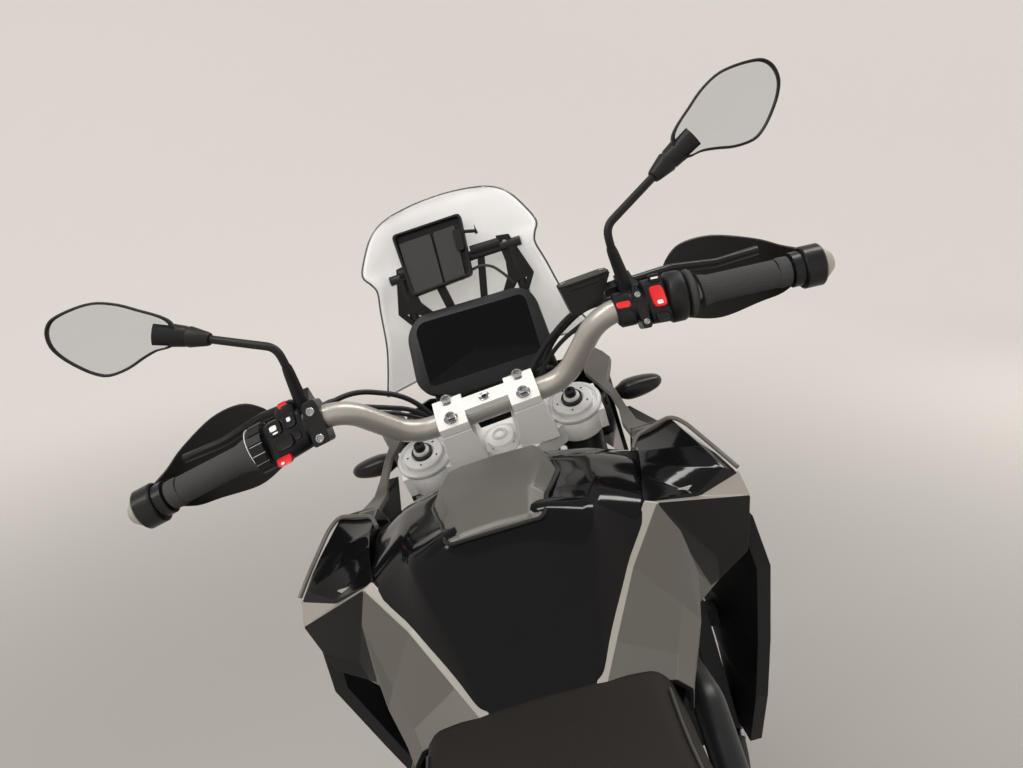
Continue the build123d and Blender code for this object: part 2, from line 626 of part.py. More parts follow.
# ---------------------------------------------------------------- chassis
PIVOT_X, _, PIVOT_Z = SWINGARM_PIVOT
FRAME_TUBE, SUBFRAME_TUBE = 19.0, 13.0
CHAIN_FRONT = (626.0, 430.0, 44.0)  # x, z and radius of the small sprocket
PIVOT_PLATE_INNER, PIVOT_PLATE_OUTER = 134.0, 146.0


def on_axis(u, v, w):
    """Upright coordinates of a steering-frame point with the handlebar straight."""
    return tuple(STEERING_PLANE.from_local_coords(Vector(u, v, w)))


HEAD_TUBE_TOP, HEAD_TUBE_LOW = YOKE_LOW - 1.0, LOWER_YOKE_TOP + 1.0
SPAR = [
    on_axis(-6, 16, -62), on_axis(-84, 46, -78), (960, 118, 858), (820, 142, 838), (640, 140, 690),
    (580, 140, 600),
]
CRADLE = [
    on_axis(-8, 14, -140), on_axis(-98, 36, -166), (1112, 66, 740), (1092, 100, 540), (1052, 100, 300),
    (990, 100, 256), (680, 100, 256), (590, 128, 330),
]

STAND_PIVOT = Vector(586, 172, 294)
STAND_EYE_HALF, STAND_PIN = 12.5, 6.0
STAND_FOOT = Vector(648, 306, 0)
STAND_FOLD_WAY = Vector(-0.98, 0.2, 0.08)
FLOOR_UP = Vector(0, -math.sin(lean), math.cos(lean))
foot_ground = Vector(STAND_FOOT.X, STAND_FOOT.Y, STAND_FOOT.Y * TAN_LEAN)
stand_leg = foot_ground + FLOOR_UP * 10 - STAND_PIVOT
STAND_AXIS = stand_leg.cross(STAND_FOLD_WAY).normalized()
STAND_FOLD = math.degrees(math.acos(stand_leg.normalized().dot(STAND_FOLD_WAY.normalized())))

with BuildPart() as frame:
    barrel(on_axis(0, 0, HEAD_TUBE_LOW), on_axis(0, 0, HEAD_TUBE_TOP), HEAD_TUBE_RADIUS)
    for side in (1, -1):
        rod([(x, side * y, z) for x, y, z in SPAR], FRAME_TUBE - 3, bend=30)
        rod([(x, side * y, z) for x, y, z in CRADLE], FRAME_TUBE - 3, bend=30)
        prism(
            Plane.XZ.offset(-side * (PIVOT_PLATE_INNER + PIVOT_PLATE_OUTER) / 2),
            [(520, 350), (575, 318), (622, 330), (628, 480), (612, 640), (566, 640), (540, 480)],
            (PIVOT_PLATE_OUTER - PIVOT_PLATE_INNER) / 2,
            both=True,
        )
        rod([(1090, side * 95, 560), (1085, side * 110, 700), (1000, side * 112, 862)], 13, bend=30)
    for x, y, z, radius in [(592, 138, 618, 16), (600, 128, 335, 14), (1092, 98, 545, 12)]:
        barrel((x, -y, z), (x, y, z), radius)
    barrel(
        on_axis(0, 0, HEAD_TUBE_LOW - 5), on_axis(0, 0, HEAD_TUBE_TOP + 5), STEM_RADIUS + RUN,
        mode=Mode.SUBTRACT,
    )
    barrel((PIVOT_X, -200, PIVOT_Z), (PIVOT_X, 200, PIVOT_Z), REAR_AXLE_RADIUS + FIT, mode=Mode.SUBTRACT)
    for low in (STAND_EYE_HALF + 0.5, -STAND_EYE_HALF - 6.5):
        barrel(tuple(STAND_PIVOT + STAND_AXIS * low), tuple(STAND_PIVOT + STAND_AXIS * (low + 6)), 16)
    barrel(
        tuple(STAND_PIVOT - STAND_AXIS * (STAND_EYE_HALF + 6)),
        tuple(STAND_PIVOT + STAND_AXIS * (STAND_EYE_HALF + 9)),
        STAND_PIN,
    )
    barrel(tuple(STAND_PIVOT - STAND_AXIS * (STAND_EYE_HALF + 4)), tuple(STAND_PIVOT - STAND_AXIS * 32), 14)
    rod([tuple(STAND_PIVOT - STAND_AXIS * 32), (588, 139, 330)], 7)
keep("frame", frame)

BOBBIN_HOLE, BOBBIN_RADIUS, BOBBIN_DEPTH = (56.0, 130.0, 332.0), 5.0, 18.0
with BuildPart() as swingarm:
    for side in (1, -1):
        skin(
            [
                (
                    Plane.YZ.offset(PIVOT_X + 22),
                    [(side * 104, 372), (side * 130, 372), (side * 130, 428), (side * 104, 428)],
                ),
                (
                    Plane.YZ.offset(PIVOT_X - 60),
                    [(side * 104, 364), (side * 130, 364), (side * 130, 420), (side * 104, 420)],
                ),
                (
                    Plane.YZ.offset(120),
                    [(side * 108, 300), (side * 130, 300), (side * 130, 358), (side * 108, 358)],
                ),
                (
                    Plane.YZ.offset(-42),
                    [(side * 108, 298), (side * 130, 298), (side * 130, 346), (side * 108, 346)],
                ),
            ]
        )
    block((PIVOT_X - 130, -106, 372), (PIVOT_X - 80, 106, 412))
    barrel((PIVOT_X, -104, PIVOT_Z), (PIVOT_X, 104, PIVOT_Z), 30)
    block((PIVOT_X - 100, -24, 380), (PIVOT_X, 24, 420))
    block((PIVOT_X - 135, 84 - 4, 300), (PIVOT_X + 40, 103.9, 520), mode=Mode.SUBTRACT)
    barrel((PIVOT_X, -104, PIVOT_Z), (PIVOT_X, 130, PIVOT_Z), 26)
    barrel((PIVOT_X, -150, PIVOT_Z), (PIVOT_X, 150, PIVOT_Z), REAR_AXLE_RADIUS + FIT, mode=Mode.SUBTRACT)
    barrel((0, -140, REAR_AXLE_Z), (0, 140, REAR_AXLE_Z), REAR_AXLE_RADIUS, mode=Mode.SUBTRACT)
    for side in (1, -1):
        x, _, z = BOBBIN_HOLE
        barrel((x, side * (130 - BOBBIN_DEPTH), z), (x, side * 131, z), BOBBIN_RADIUS, mode=Mode.SUBTRACT)
keep("swingarm", swingarm)

with BuildPart() as swingarm_shafts:
    barrel((0, -138, REAR_AXLE_Z), (0, 138, REAR_AXLE_Z), REAR_AXLE_RADIUS)
    for side in (1, -1):
        barrel((0, side * (REAR_HUB_HALF + 1), REAR_AXLE_Z), (0, side * (108 - FIT), REAR_AXLE_Z), 19)
        barrel((0, side * (130 + FIT), REAR_AXLE_Z), (0, side * 138, REAR_AXLE_Z), 19)
    barrel((PIVOT_X, -152, PIVOT_Z), (PIVOT_X, 152, PIVOT_Z), REAR_AXLE_RADIUS)
    for side in (1, -1):
        barrel((PIVOT_X, side * (PIVOT_PLATE_OUTER + FIT), PIVOT_Z), (PIVOT_X, side * 156, PIVOT_Z), 20)
keep("swingarm_shafts", swingarm_shafts)

SUBFRAME_HALF = 108.0
with BuildPart() as rear_subframe:
    for side in (1, -1):
        rod(
            [
                (742, side * 140, 802), (560, side * 122, 826), (250, side * SUBFRAME_HALF, 850),
                (20, side * 92, 886), (-60, side * 70, 896),
            ],
            SUBFRAME_TUBE,
            bend=40,
        )
        rod(
            [(604, side * 140, 640), (430, side * 124, 740), (230, side * SUBFRAME_HALF, 842)],
            SUBFRAME_TUBE - 2,
            bend=40,
        )
    for x, y, z in [(560, 122, 826), (300, 110, 846), (20, 92, 886)]:
        barrel((x, -y, z), (x, y, z), 10)
    barrel((604, -142, 640), (604, 142, 640), 8)
    trim("frame")
keep("rear_subframe", rear_subframe)

ENGINE_COVER = [
    # columns: x, z, y of the foot, y of the face, radius
    (895, 430, 100, 148, 84),
    (900, 430, 140, 154, 46),
    (800, 425, -100, -152, 92),
    (806, 425, -148, -160, 58),
    (935, 425, -100, -136, 60),
]
with BuildPart() as engine:
    prism(
        Plane.XZ,
        [(700, 285), (900, 285), (1005, 330), (1010, 470), (985, 545), (700, 545), (690, 500), (690, 330)],
        112,
        both=True,
    )
    prism(Plane.XZ, [(640, 360), (700, 310), (700, 545), (640, 520), (596, 480), (596, 380)], 78, both=True)
    prism(Plane.XZ, [(795, 540), (985, 540), (1000, 690), (822, 705)], 102, both=True)
    prism(
        Plane.XZ, [(818, 700), (1002, 686), (1012, 742), (985, 792), (865, 806), (822, 770)], 118, both=True
    )
    for row in range(5):
        z = 570 + row * 24
        prism(
            Plane.XZ,
            [(784 + row * 4, z), (993 + row * 2, z), (995 + row * 2, z + 9), (786 + row * 4, z + 9)],
            110,
            both=True,
        )
    for x, z, foot, face, radius in ENGINE_COVER:
        barrel((x, foot, z), (x, face, z), radius, radius - 8)
    barrel((CHAIN_FRONT[0], 70, CHAIN_FRONT[1]), (CHAIN_FRONT[0], 82, CHAIN_FRONT[1]), 24)
    barrel((1005, 0, 400), (1050, 0, 392), 33)
    for side in (1, -1):
        barrel((700, side * 112, 300), (700, side * 60, 300), 18)
    trim("frame")
keep("engine", engine)

HEADER_RADIUS, LINK_RADIUS = 20.0, 24.0
with BuildPart() as exhaust:
    for side in (1, -1):
        rod(
            [
                (1000, side * 42, 735), (1050, side * 42, 722), (1084, side * 40, 640),
                (1084, side * 40, 360), (1050, side * 36, 262), (930, side * 14, 256),
            ],
            HEADER_RADIUS,
            bend=38,
        )
    rod(
        [
            (945, 0, 256), (700, -60, 256), (620, -118, 252), (556, -178, 306), (470, -182, 440),
            (330, -176, 505),
        ],
        LINK_RADIUS,
        bend=45,
    )
    trim("engine", "frame")
keep("exhaust", exhaust)

with BuildPart() as silencer:
    axis = Vector(-150, -186, 660) - Vector(330, -176, 505)
    can = [(0, 26, 26), (34, 42, 50), (90, 46, 56), (400, 48, 58), (axis.length, 34, 44)]
    base = Plane(origin=(330, -176, 505), x_dir=(0, 1, 0), z_dir=axis)
    sections = []
    for reach, half_y, half_z in can:
        with BuildSketch(base.offset(reach + 0.3)) as section:
            RectangleRounded(2 * half_y, 2 * half_z, half_y * 0.9)
        sections.append(section.sketch.face())
    loft(sections, ruled=True)
    tip = Vector(330, -176, 505) + axis * 1.001
    barrel(tuple(tip), tuple(tip - axis.normalized() * 60), 24, mode=Mode.SUBTRACT)
    rod([(300, -176, 540), (300, -112, 790)], 8)
    trim("exhaust", "rear_subframe")
keep("silencer", silencer)

with BuildPart() as radiator:
    block((1150, -168, 520), (1176, 168, 760))
    for side in (1, -1):
        side_block(side, (1146, 168, 512), (1182, 192, 768))
        side_block(side, (1108, 70, 600), (1150, 84, 640))
    for row in range(11):
        z = 530 + row * 20
        block((1174, -168, z), (1180, 168, z + 5))
    trim("frame")
keep("radiator", radiator)

with BuildPart() as skid_plate:
    # columns: x, z of the plate's outside, half width at the top edge, height of the side
    RUN_X = [
        (1150, 400, 120, 10), (1124, 262, 128, 48), (1050, 214, 132, 62), (700, 214, 132, 62),
        (650, 232, 120, 40),
    ]
    stations = []
    for x, z, half, rise in RUN_X:
        outer = [(-half, z + rise), (-half + 34, z), (half - 34, z), (half, z + rise)]
        inner = [(half - 4, z + rise), (half - 36, z + 4), (-half + 36, z + 4), (-half + 4, z + rise)]
        stations.append((Plane.YZ.offset(x), outer + inner))
    skin(stations[::-1])
    for x in (1000, 720):
        for side in (1, -1):
            side_block(side, (x, 84, 217), (x + 30, 104, 246))
    trim("exhaust", "frame")
keep("skid_plate", skid_plate)

with BuildPart() as shock:
    top, low = (606, 0, 600), (486, 0, 424)
    barrel(low, top, 14)
    axis = Vector(*top) - Vector(*low)
    for n in range(9):
        here = Vector(*low) + axis * (0.2 + 0.08 * n)
        barrel(tuple(here), tuple(here + axis.normalized() * 9), 34)
    barrel((486, -24, 424), (486, 24, 424), 14)
    barrel((594, -22, 612), (594, 22, 612), 26)
    trim("frame", "swingarm", "engine", "rear_subframe")
keep("shock", shock)

CHAIN_INNER = SPROCKET_RADIUS + 1.5
CHAIN_HALF, CHAIN_DEPTH = 6.0, 12.0


def chain_path(extra):
    """Outline of the belt round both sprockets, extra outside the chain's inner edge."""
    fx, fz, fr = CHAIN_FRONT
    big, small = CHAIN_INNER + extra, fr + extra
    span = math.hypot(fx, fz - REAR_AXLE_Z)
    slope = math.atan2(fz - REAR_AXLE_Z, fx)
    spread = math.asin((big - small) / span)
    with BuildSketch(Plane.XZ.offset(-SPROCKET_Y)) as belt:
        with BuildLine():
            top, low = slope + math.pi / 2 - spread, slope - math.pi / 2 + spread
            a = (big * math.cos(top), REAR_AXLE_Z + big * math.sin(top))
            b = (fx + small * math.cos(top), fz + small * math.sin(top))
            c = (fx + small * math.cos(low), fz + small * math.sin(low))
            d = (big * math.cos(low), REAR_AXLE_Z + big * math.sin(low))
            Line(a, b)
            ThreePointArc(b, (fx + small * math.cos(slope), fz + small * math.sin(slope)), c)
            Line(c, d)
            ThreePointArc(d, (-big * math.cos(slope), REAR_AXLE_Z - big * math.sin(slope)), a)
        make_face()
    return belt.sketch


with BuildPart() as drive_chain:
    extrude(chain_path(CHAIN_DEPTH), amount=CHAIN_HALF, both=True)
    extrude(chain_path(0), amount=CHAIN_HALF + 1, both=True, mode=Mode.SUBTRACT)
    fx, fz, fr = CHAIN_FRONT
    barrel((fx, SPROCKET_Y - 4, fz), (fx, SPROCKET_Y + 4, fz), fr - FIT)
    barrel((fx, 82 + FIT, fz), (fx, SPROCKET_Y + 8, fz), 16)
keep("drive_chain", drive_chain)

with BuildPart() as rear_caliper:
    block((40, -116, REAR_AXLE_Z + 60), (110, -72, REAR_AXLE_Z + 150))
    low_y, high_y = -REAR_DISC_Y - 4.5, -REAR_DISC_Y + 4.5
    barrel((0, low_y, REAR_AXLE_Z), (0, high_y, REAR_AXLE_Z), REAR_DISC_RADIUS + 5, mode=Mode.SUBTRACT)
    block((66, -126, REAR_AXLE_Z - 5), (92, -101, REAR_AXLE_Z + 100))
    trim("swingarm")
keep("rear_caliper", rear_caliper)

with BuildPart() as foot_controls:
    for side in (1, -1):
        side_block(side, (618, 146.3, 330), (668, 168, 352))
        side_block(side, (622, 168, 334), (664, 262, 352))
        for n in range(4):
            y = side * (180 + n * 22)
            block((616, min(y, y + side * 8), 346), (670, max(y, y + side * 8), 360))
        side_block(side, (596, 146.3, 330), (640, 158, 400))
        rod([(380, side * 150, 620), (450, side * 142, 560), (560, side * 150.5, 500)], 8, bend=20)
        rod([(380, side * 150, 620), (440, side * 138, 700), (440, side * 138, 735)], 8, bend=20)
        barrel((380, side * 146, 620), (380, side * 250, 620), 13)
    trim("frame", "swingarm_shafts", "exhaust", "rear_subframe", "swingarm")
    rod([(720, 112 + FIT, 330), (720, 172, 330)], 8)
    rod([(720, 168, 330), (850, 176, 320)], 6)
    barrel((850, 172, 320), (850, 220, 320), 9)
    rod([(720, -112 - FIT, 306), (720, -176, 306)], 8)
    rod([(720, -172, 306), (780, -190, 290), (850, -200, 300)], 7, bend=20)
    block((835, -225, 300), (880, -185, 312))
    trim("frame", "engine", "skid_plate", "exhaust")
keep("foot_controls", foot_controls)

# ---------------------------------------------------------------- tank, seat and panels
with BuildPart() as fuel_tank:
    # columns: x, then the half outline: middle, crease, ridge, edge of the panel, flank, foot, middle
    TANK = [
        (1100, [(0, 992), (30, 990), (44, 984), (60, 972), (70, 940), (56, 905), (0, 900)]),
        (1066, [(0, 1040), (50, 1038), (100, 1026), (150, 1006), (176, 950), (150, 885), (0, 880)]),
        (998, [(0, 1060), (58, 1058), (108, 1048), (152, 1026), (190, 960), (168, 880), (0, 875)]),
        (948, [(0, 1062), (50, 1061), (106, 1052), (150, 1022), (184, 955), (164, 870), (0, 866)]),
        (889, [(0, 1062), (44, 1060), (96, 1050), (144, 1016), (162, 940), (156, 868), (0, 862)]),
        (845, [(0, 1060), (43, 1056), (88, 1034), (108, 974), (142, 902), (138, 866), (0, 860)]),
        (800, [(0, 964), (28, 962), (64, 954), (72, 932), (124, 894), (126, 864), (0, 860)]),
        (757, [(0, 872), (26, 871), (50, 870), (56, 869), (100, 868), (104, 862), (0, 858)]),
    ]
    skin([(Plane.YZ.offset(x), symmetric(half)) for x, half in TANK])
    trim("frame", "engine")
keep("fuel_tank", fuel_tank)

with BuildPart() as tank_cover:
    # columns: x, half width, height of the middle, height of the edge
    COVER = [
        (1040, 52, 1064, 1056), (998, 58, 1075, 1070), (939, 64, 1077, 1072), (881, 47, 1074, 1069),
        (843, 43, 1068, 1060),
    ]
    rows = []
    for x, half, top, edge in COVER:
        plateau = [(-half, edge), (-half * 0.6, top), (half * 0.6, top), (half, edge)]
        rows.append((Plane.YZ.offset(x), plateau + [(half, 1020), (-half, 1020)]))
    skin(rows)
    trim("fuel_tank")
keep("tank_cover", tank_cover)

# columns: x, then the outline of the left side's skin across the machine
PANEL = [
    (1072, [(150, 1000), (158, 1034), (206, 1034), (216, 1020), (216, 1000), (200, 985)]),
    (992, [(150, 960), (156, 1034), (222, 1020), (239, 1002), (244, 976), (226, 934)]),
    (958, [(150, 930), (152, 1032), (236, 1000), (253, 980), (254, 960), (242, 926)]),
    (930, [(150, 910), (148, 1030), (205, 990), (214, 970), (212, 940), (200, 916)]),
    (889, [(128, 880), (140, 1022), (152, 1016), (168, 980), (172, 930), (164, 898)]),
    (845, [(112, 870), (103, 981), (111, 981), (146, 928), (158, 906), (150, 880)]),
    (800, [(100, 862), (68, 938), (76, 937), (126, 908), (138, 892), (132, 868)]),
    (774, [(96, 862), (48, 912), (56, 914), (118, 900), (130, 886), (126, 864)]),
]
# the seam between the black wing in front and the grey panel behind, from the tank outwards
SEAM_INNER, SEAM_OUTER = (889, 146), (976, 256)
SEAM_PAST = 60  # how far its cut runs on past both ends
WING_NOSE, WING_LOW, WING_TALL = 1400, 800, 400  # the cut's reach forward, foot and height


def flank(side):
    """Adds that side's whole skin, wing and panel together."""
    skin([(Plane.YZ.offset(x), [(side * y, z) for y, z in points][::side]) for x, points in PANEL])


def ahead_of_seam(side, mode):
    """Everything in front of the seam on that side."""
    (x0, y0), (x1, y1) = SEAM_INNER, SEAM_OUTER
    slope = (x1 - x0) / (y1 - y0)
    y0, y1 = y0 - SEAM_PAST, y1 + SEAM_PAST
    x0, x1 = x0 - slope * SEAM_PAST, x1 + slope * SEAM_PAST
    corners = [(x0, y0), (x1, y1), (WING_NOSE, y1), (WING_NOSE, y0)]
    prism(Plane.XY.offset(WING_LOW), [(x, side * y) for x, y in corners], WING_TALL, mode=mode)


with BuildPart() as side_panels:
    for side in (1, -1):
        flank(side)
    for side in (1, -1):
        ahead_of_seam(side, Mode.SUBTRACT)
    trim("fuel_tank", "frame", "engine")
keep("side_panels", side_panels)

with BuildPart() as tank_wings:
    for side in (1, -1):
        with BuildPart() as wing:
            flank(side)
            ahead_of_seam(side, Mode.INTERSECT)
        add(wing.part)
    trim("fuel_tank", "frame", "engine", "side_panels")
keep("tank_wings", tank_wings)

with BuildPart() as radiator_shrouds:
    # columns: z, x of the rear edge, y there, x of the front edge, y there
    SHROUD = [
        (1010, 1076, 214, 1235, 176), (925, 985, 256, 1222, 196), (860, 985, 261, 1212, 206),
        (740, 1030, 247, 1206, 212), (640, 1062, 230, 1196, 212), (545, 1104, 212, 1170, 204),
    ]
    for side in (1, -1):
        skin(
            [
                (
                    Plane.XY.offset(z),
                    [(xa, side * ya), (xb, side * yb), (xb, side * (yb - 14)), (xa, side * (ya - 16))][
                        ::-side
                    ],
                )
                for z, xa, ya, xb, yb in SHROUD
            ]
        )
        side_block(side, (1150, 186, 700), (1178, 206, 724))
    trim("side_panels", "tank_wings", "radiator", "fuel_tank")
keep("radiator_shrouds", radiator_shrouds)

def saddle(stations, crown=3.0, roll=16.0):
    """Adds a seat from rows of x, half width at the top, half width at the foot, top and foot."""
    rows = []
    for x, half, foot, top, low in stations:
        half_outline = [
            (0, top + crown), (half - roll, top + crown / 2), (half, top - roll * 0.7), (foot, low),
            (0, low),
        ]
        rows.append((Plane.YZ.offset(x), symmetric(half_outline)))
    skin(rows)


SEAT = [
    (785, 115, 118, 914, 868),
    (700, 118, 126, 897, 852),
    (600, 132, 144, 872, 845),
    (500, 148, 150, 862, 842),
    (430, 140, 146, 872, 850),
    (404, 118, 130, 884, 860),
]
with BuildPart() as rider_seat:
    saddle(SEAT)
    trim("fuel_tank", "side_panels", "rear_subframe", "frame")
keep("rider_seat", rider_seat)

PILLION = [
    (404 - FIT, 118, 130, 902, 862),
    (380, 126, 134, 922, 866),
    (250, 122, 130, 930, 876),
    (110, 106, 118, 940, 900),
    (84, 96, 108, 934, 904),
]
with BuildPart() as passenger_seat:
    saddle(PILLION)
    trim("rider_seat", "rear_subframe")
keep("passenger_seat", passenger_seat)

with BuildPart() as tail_section:
    # columns: x, half width, top, foot
    TAIL = [
        (640, 158, 842, 740), (500, 162, 838, 760), (300, 152, 856, 790), (80, 122, 896, 838),
        (-90, 86, 902, 856), (-150, 56, 898, 862),
    ]
    for side in (1, -1):
        rows = []
        for x, half, top, low in TAIL:
            shell = [(half - 12, low), (half, low + 8), (half - 2, top - 6), (half - 16, top)]
            rows.append((Plane.YZ.offset(x), [(side * y, z) for y, z in shell][::side]))
        skin(rows)
    block((-150, -52, 862), (-60, 52, 896))
    skin(
        [
            (Plane.YZ.offset(x), symmetric([(0, top), (half, top), (half, top - 5), (0, top - 5)]))
            for x, half, top in [(560, 96, 790), (300, 92, 815), (-60, 60, 868)]
        ]
    )
    trim("rider_seat", "passenger_seat", "rear_subframe", "silencer", "foot_controls")
keep("tail_section", tail_section)

RACK_TOP, RACK_THICKNESS, RACK_MIDDLE_X = 930.0, 8.0, -60.0
RACK_HOLE_SPACING, RACK_HOLE_RADIUS = 150.0, 4.25
RACK_SLOT_LENGTH, RACK_SLOT_WIDTH, RACK_SLOT_STEP = 120.0, 26.0, 50.0
with BuildPart() as luggage_rack:
    with BuildSketch(Plane.XY.offset(RACK_TOP - RACK_THICKNESS)) as plate:
        with Locations((RACK_MIDDLE_X, 0)):
            RectangleRounded(210, 200, 30)
            with GridLocations(RACK_SLOT_STEP, 0, 3, 1):
                SlotOverall(RACK_SLOT_LENGTH, RACK_SLOT_WIDTH, rotation=90, mode=Mode.SUBTRACT)
            with GridLocations(RACK_HOLE_SPACING, RACK_HOLE_SPACING, 2, 2):
                Circle(RACK_HOLE_RADIUS, mode=Mode.SUBTRACT)
    extrude(plate.sketch, amount=RACK_THICKNESS)
    for x in (24, -136):
        for side in (1, -1):
            side_block(side, (x - 8, 46, 870), (x + 8, 62, RACK_TOP - RACK_THICKNESS))
    trim("tail_section", "rear_subframe", "passenger_seat")
keep("luggage_rack", luggage_rack)

with BuildPart() as tail_lamp:
    prism(Plane.XZ, [(-150.3, 866), (-150.3, 894), (-182, 890), (-186, 872)], 52, both=True)
keep("tail_lamp", tail_lamp)

with BuildPart() as plate_holder:
    for x0, z0, x1, z1, half in [
        (-100, 862 - FIT, -190, 820, 34), (-190, 820, -300, 700, 26), (-300, 700, -352, 560, 60)
    ]:
        slope = Vector(x1 - x0, 0, z1 - z0).normalized()
        out = Vector(-slope.Z, 0, slope.X) * 4
        corners = [(x0, z0), (x1, z1), (x1 + out.X, z1 + out.Z), (x0 + out.X, z0 + out.Z)]
        prism(Plane.XZ, corners, half, both=True)
    trim("tail_section")
    slope = Vector(-52, 0, -140).normalized()
    out = Vector(slope.Z, 0, -slope.X)
    base = Plane(origin=Vector(-300, 0, 700) + slope * 64 + out * FIT, x_dir=(0, 1, 0), z_dir=out)
    with BuildSketch(base) as plate:
        RectangleRounded(200, 150, 8)
    extrude(plate.sketch, amount=2.0)
keep("plate_holder", plate_holder)

# ---------------------------------------------------------------- nose and cockpit
STAY_HALF = 9.0
with BuildPart() as cockpit_frame:
    root_top, root_low = on_axis(33, 0, -95), on_axis(33, 0, -150)
    outline_xz = [(root_top[0], root_top[2]), (root_low[0], root_low[2]), (1398, 925), (1398, 985)]
    prism(Plane.XZ, outline_xz, STAY_HALF, both=True)
    barrel((1390, -60, 955), (1390, 60, 955), 10)
    for side in (1, -1):
        rod(
            [
                (1390, side * 60, 955), (1384, side * 98, 1010), (1366, side * 84, 1130),
                (1352, side * 84, 1262),
            ],
            7,
            bend=26,
        )
        rod([(1384, side * 94, 1006), (1412, side * 144, 1002)], 6)
        side_block(side, (1336, 74, 1178), (1362, 90, 1192))
    barrel((1352, -100, 1262), (1352, 100, 1262), 7)
    rod([(1377, -92, 1060), (1346, -60, 1070), (1346, 60, 1070), (1377, 92, 1060)], 6, bend=20)
    trim("frame")
keep("cockpit_frame", cockpit_frame)

with BuildPart() as display:
    tilt = Vector(58, 0, 116).normalized()
    face = Plane(origin=(1313, 0, 1148), x_dir=(0, 1, 0), z_dir=(tilt.Z, 0, -tilt.X))
    half = [(0, -65), (72, -65), (98, -40), (104, 20), (94, 62), (0, 65)]
    prism(face, half + [(-a, b) for a, b in half[-2:0:-1]], 24)
    trim("cockpit_frame")
keep("display", display)

with BuildPart() as device_cradle:
    base = Plane(origin=(1350, 24, 1282), x_dir=(0, 1, 0), z_dir=(-0.97, 0, 0.24))
    with BuildSketch(base) as plate:
        RectangleRounded(104, 90, 10)
    extrude(plate.sketch, amount=16)
    block((1344, 8, 1258), (1360, 40, 1290))
    trim("cockpit_frame")
keep("device_cradle", device_cradle)

SCREEN_THICKNESS = 4.0
with BuildPart() as windscreen:
    # columns: z, x of the edge, y of the edge, x and y between, x of the middle
    SCREEN = [
        (1089, 1400, 173, 1466, 104, 1500),
        (1174, 1350, 137, 1420, 84, 1444),
        (1255, 1328, 119, 1392, 75, 1414),
        (1286, 1315, 129, 1382, 78, 1404),
        (1328, 1343, 106, 1376, 62, 1390),
        (1351, 1368, 70, 1379, 40, 1384),
    ]
    stations = []
    for z, edge_x, edge_y, mid_x, mid_y, top_x in SCREEN:
        outer = [(edge_x, edge_y), (mid_x, mid_y), (top_x, 0), (mid_x, -mid_y), (edge_x, -edge_y)]
        inner = [(x - SCREEN_THICKNESS, y * (1 - 2.5 / edge_y)) for x, y in outer[::-1]]
        stations.append((Plane.XY.offset(z), outer + inner))
    skin(stations)
    trim("cockpit_frame")
keep("windscreen", windscreen)

with BuildPart() as headlamp:
    # columns: x, half outline
    LAMP = [
        (1422, [(0, 1052), (92, 1044), (112, 1000), (92, 956), (0, 946)]),
        (1470, [(0, 1048), (88, 1036), (106, 998), (86, 960), (0, 950)]),
        (1502, [(0, 1036), (60, 1024), (76, 994), (58, 966), (0, 958)]),
    ]
    skin([(Plane.YZ.offset(x), symmetric(half)) for x, half in LAMP])
    block((1396, -30, 960), (1424, 30, 1000))
    trim("cockpit_frame")
keep("headlamp", headlamp)

with BuildPart() as front_cowl:
    # columns: x, half width, height of the ridge, height of the edge
    BEAK = [
        (1404, 104, 944, 916), (1500, 98, 938, 896), (1600, 74, 898, 866), (1700, 44, 856, 838),
        (1760, 14, 832, 824),
    ]
    rows = []
    for x, half, ridge, edge in BEAK:
        over = [(-half, edge), (-half * 0.4, ridge), (half * 0.4, ridge), (half, edge)]
        under = [
            (half - 6, edge - 5), (half * 0.4 - 3, ridge - 6), (3 - half * 0.4, ridge - 6),
            (6 - half, edge - 5),
        ]
        rows.append((Plane.YZ.offset(x), over + under))
    skin(rows)
    # columns: x, y of the cheek's outside, low edge, high edge
    CHEEK = [(1502, 92, 940, 1030), (1440, 122, 918, 1056), (1380, 148, 906, 1058), (1250, 158, 912, 1030)]
    for side in (1, -1):
        skin(
            [
                (
                    Plane.YZ.offset(x),
                    [(side * (y - 6), low), (side * y, low), (side * y, high), (side * (y - 6), high)][
                        ::side
                    ],
                )
                for x, y, low, high in CHEEK
            ]
        )
        skin(
            [
                (
                    Plane.YZ.offset(x),
                    [(side * half, top), (side * y, high), (side * y, high - 6), (side * half, top - 6)][
                        ::-side
                    ],
                )
                for x, half, top, y, high in [(1420, 40, 1064, 128, 1056), (1500, 30, 1056, 92, 1032)]
            ]
        )
    block((1395, -14, 900), (1440, 14, 944))
    trim("headlamp", "windscreen", "cockpit_frame", "radiator_shrouds")
keep("front_cowl", front_cowl)

with BuildPart() as cockpit_trim:
    # columns: x, y, z of each strip's middle, half width
    STRIP = [
        (1300, 148, 1087, 8), (1270, 151, 1077, 20), (1246, 148, 1070, 18), (1220, 150, 1060, 8),
        (1190, 158, 1050, 5), (1150, 162, 1040, 5), (1110, 162, 1032, 9), (1050, 168, 1040, 14),
    ]
    for side in (1, -1):
        rows = []
        for x, y, z, half in STRIP:
            strip = [(y - half, z - 3), (y + half, z - 3), (y + half, z + 3), (y - half, z + 3)]
            rows.append((Plane.YZ.offset(x), [(side * a, b) for a, b in strip][::side]))
        skin(rows)
        side_block(side, (1252, 148, 1014), (1266, 164, 1072))
    trim("front_cowl", "radiator_shrouds", "tank_wings", "side_panels", "fuel_tank")
keep("cockpit_trim", cockpit_trim)

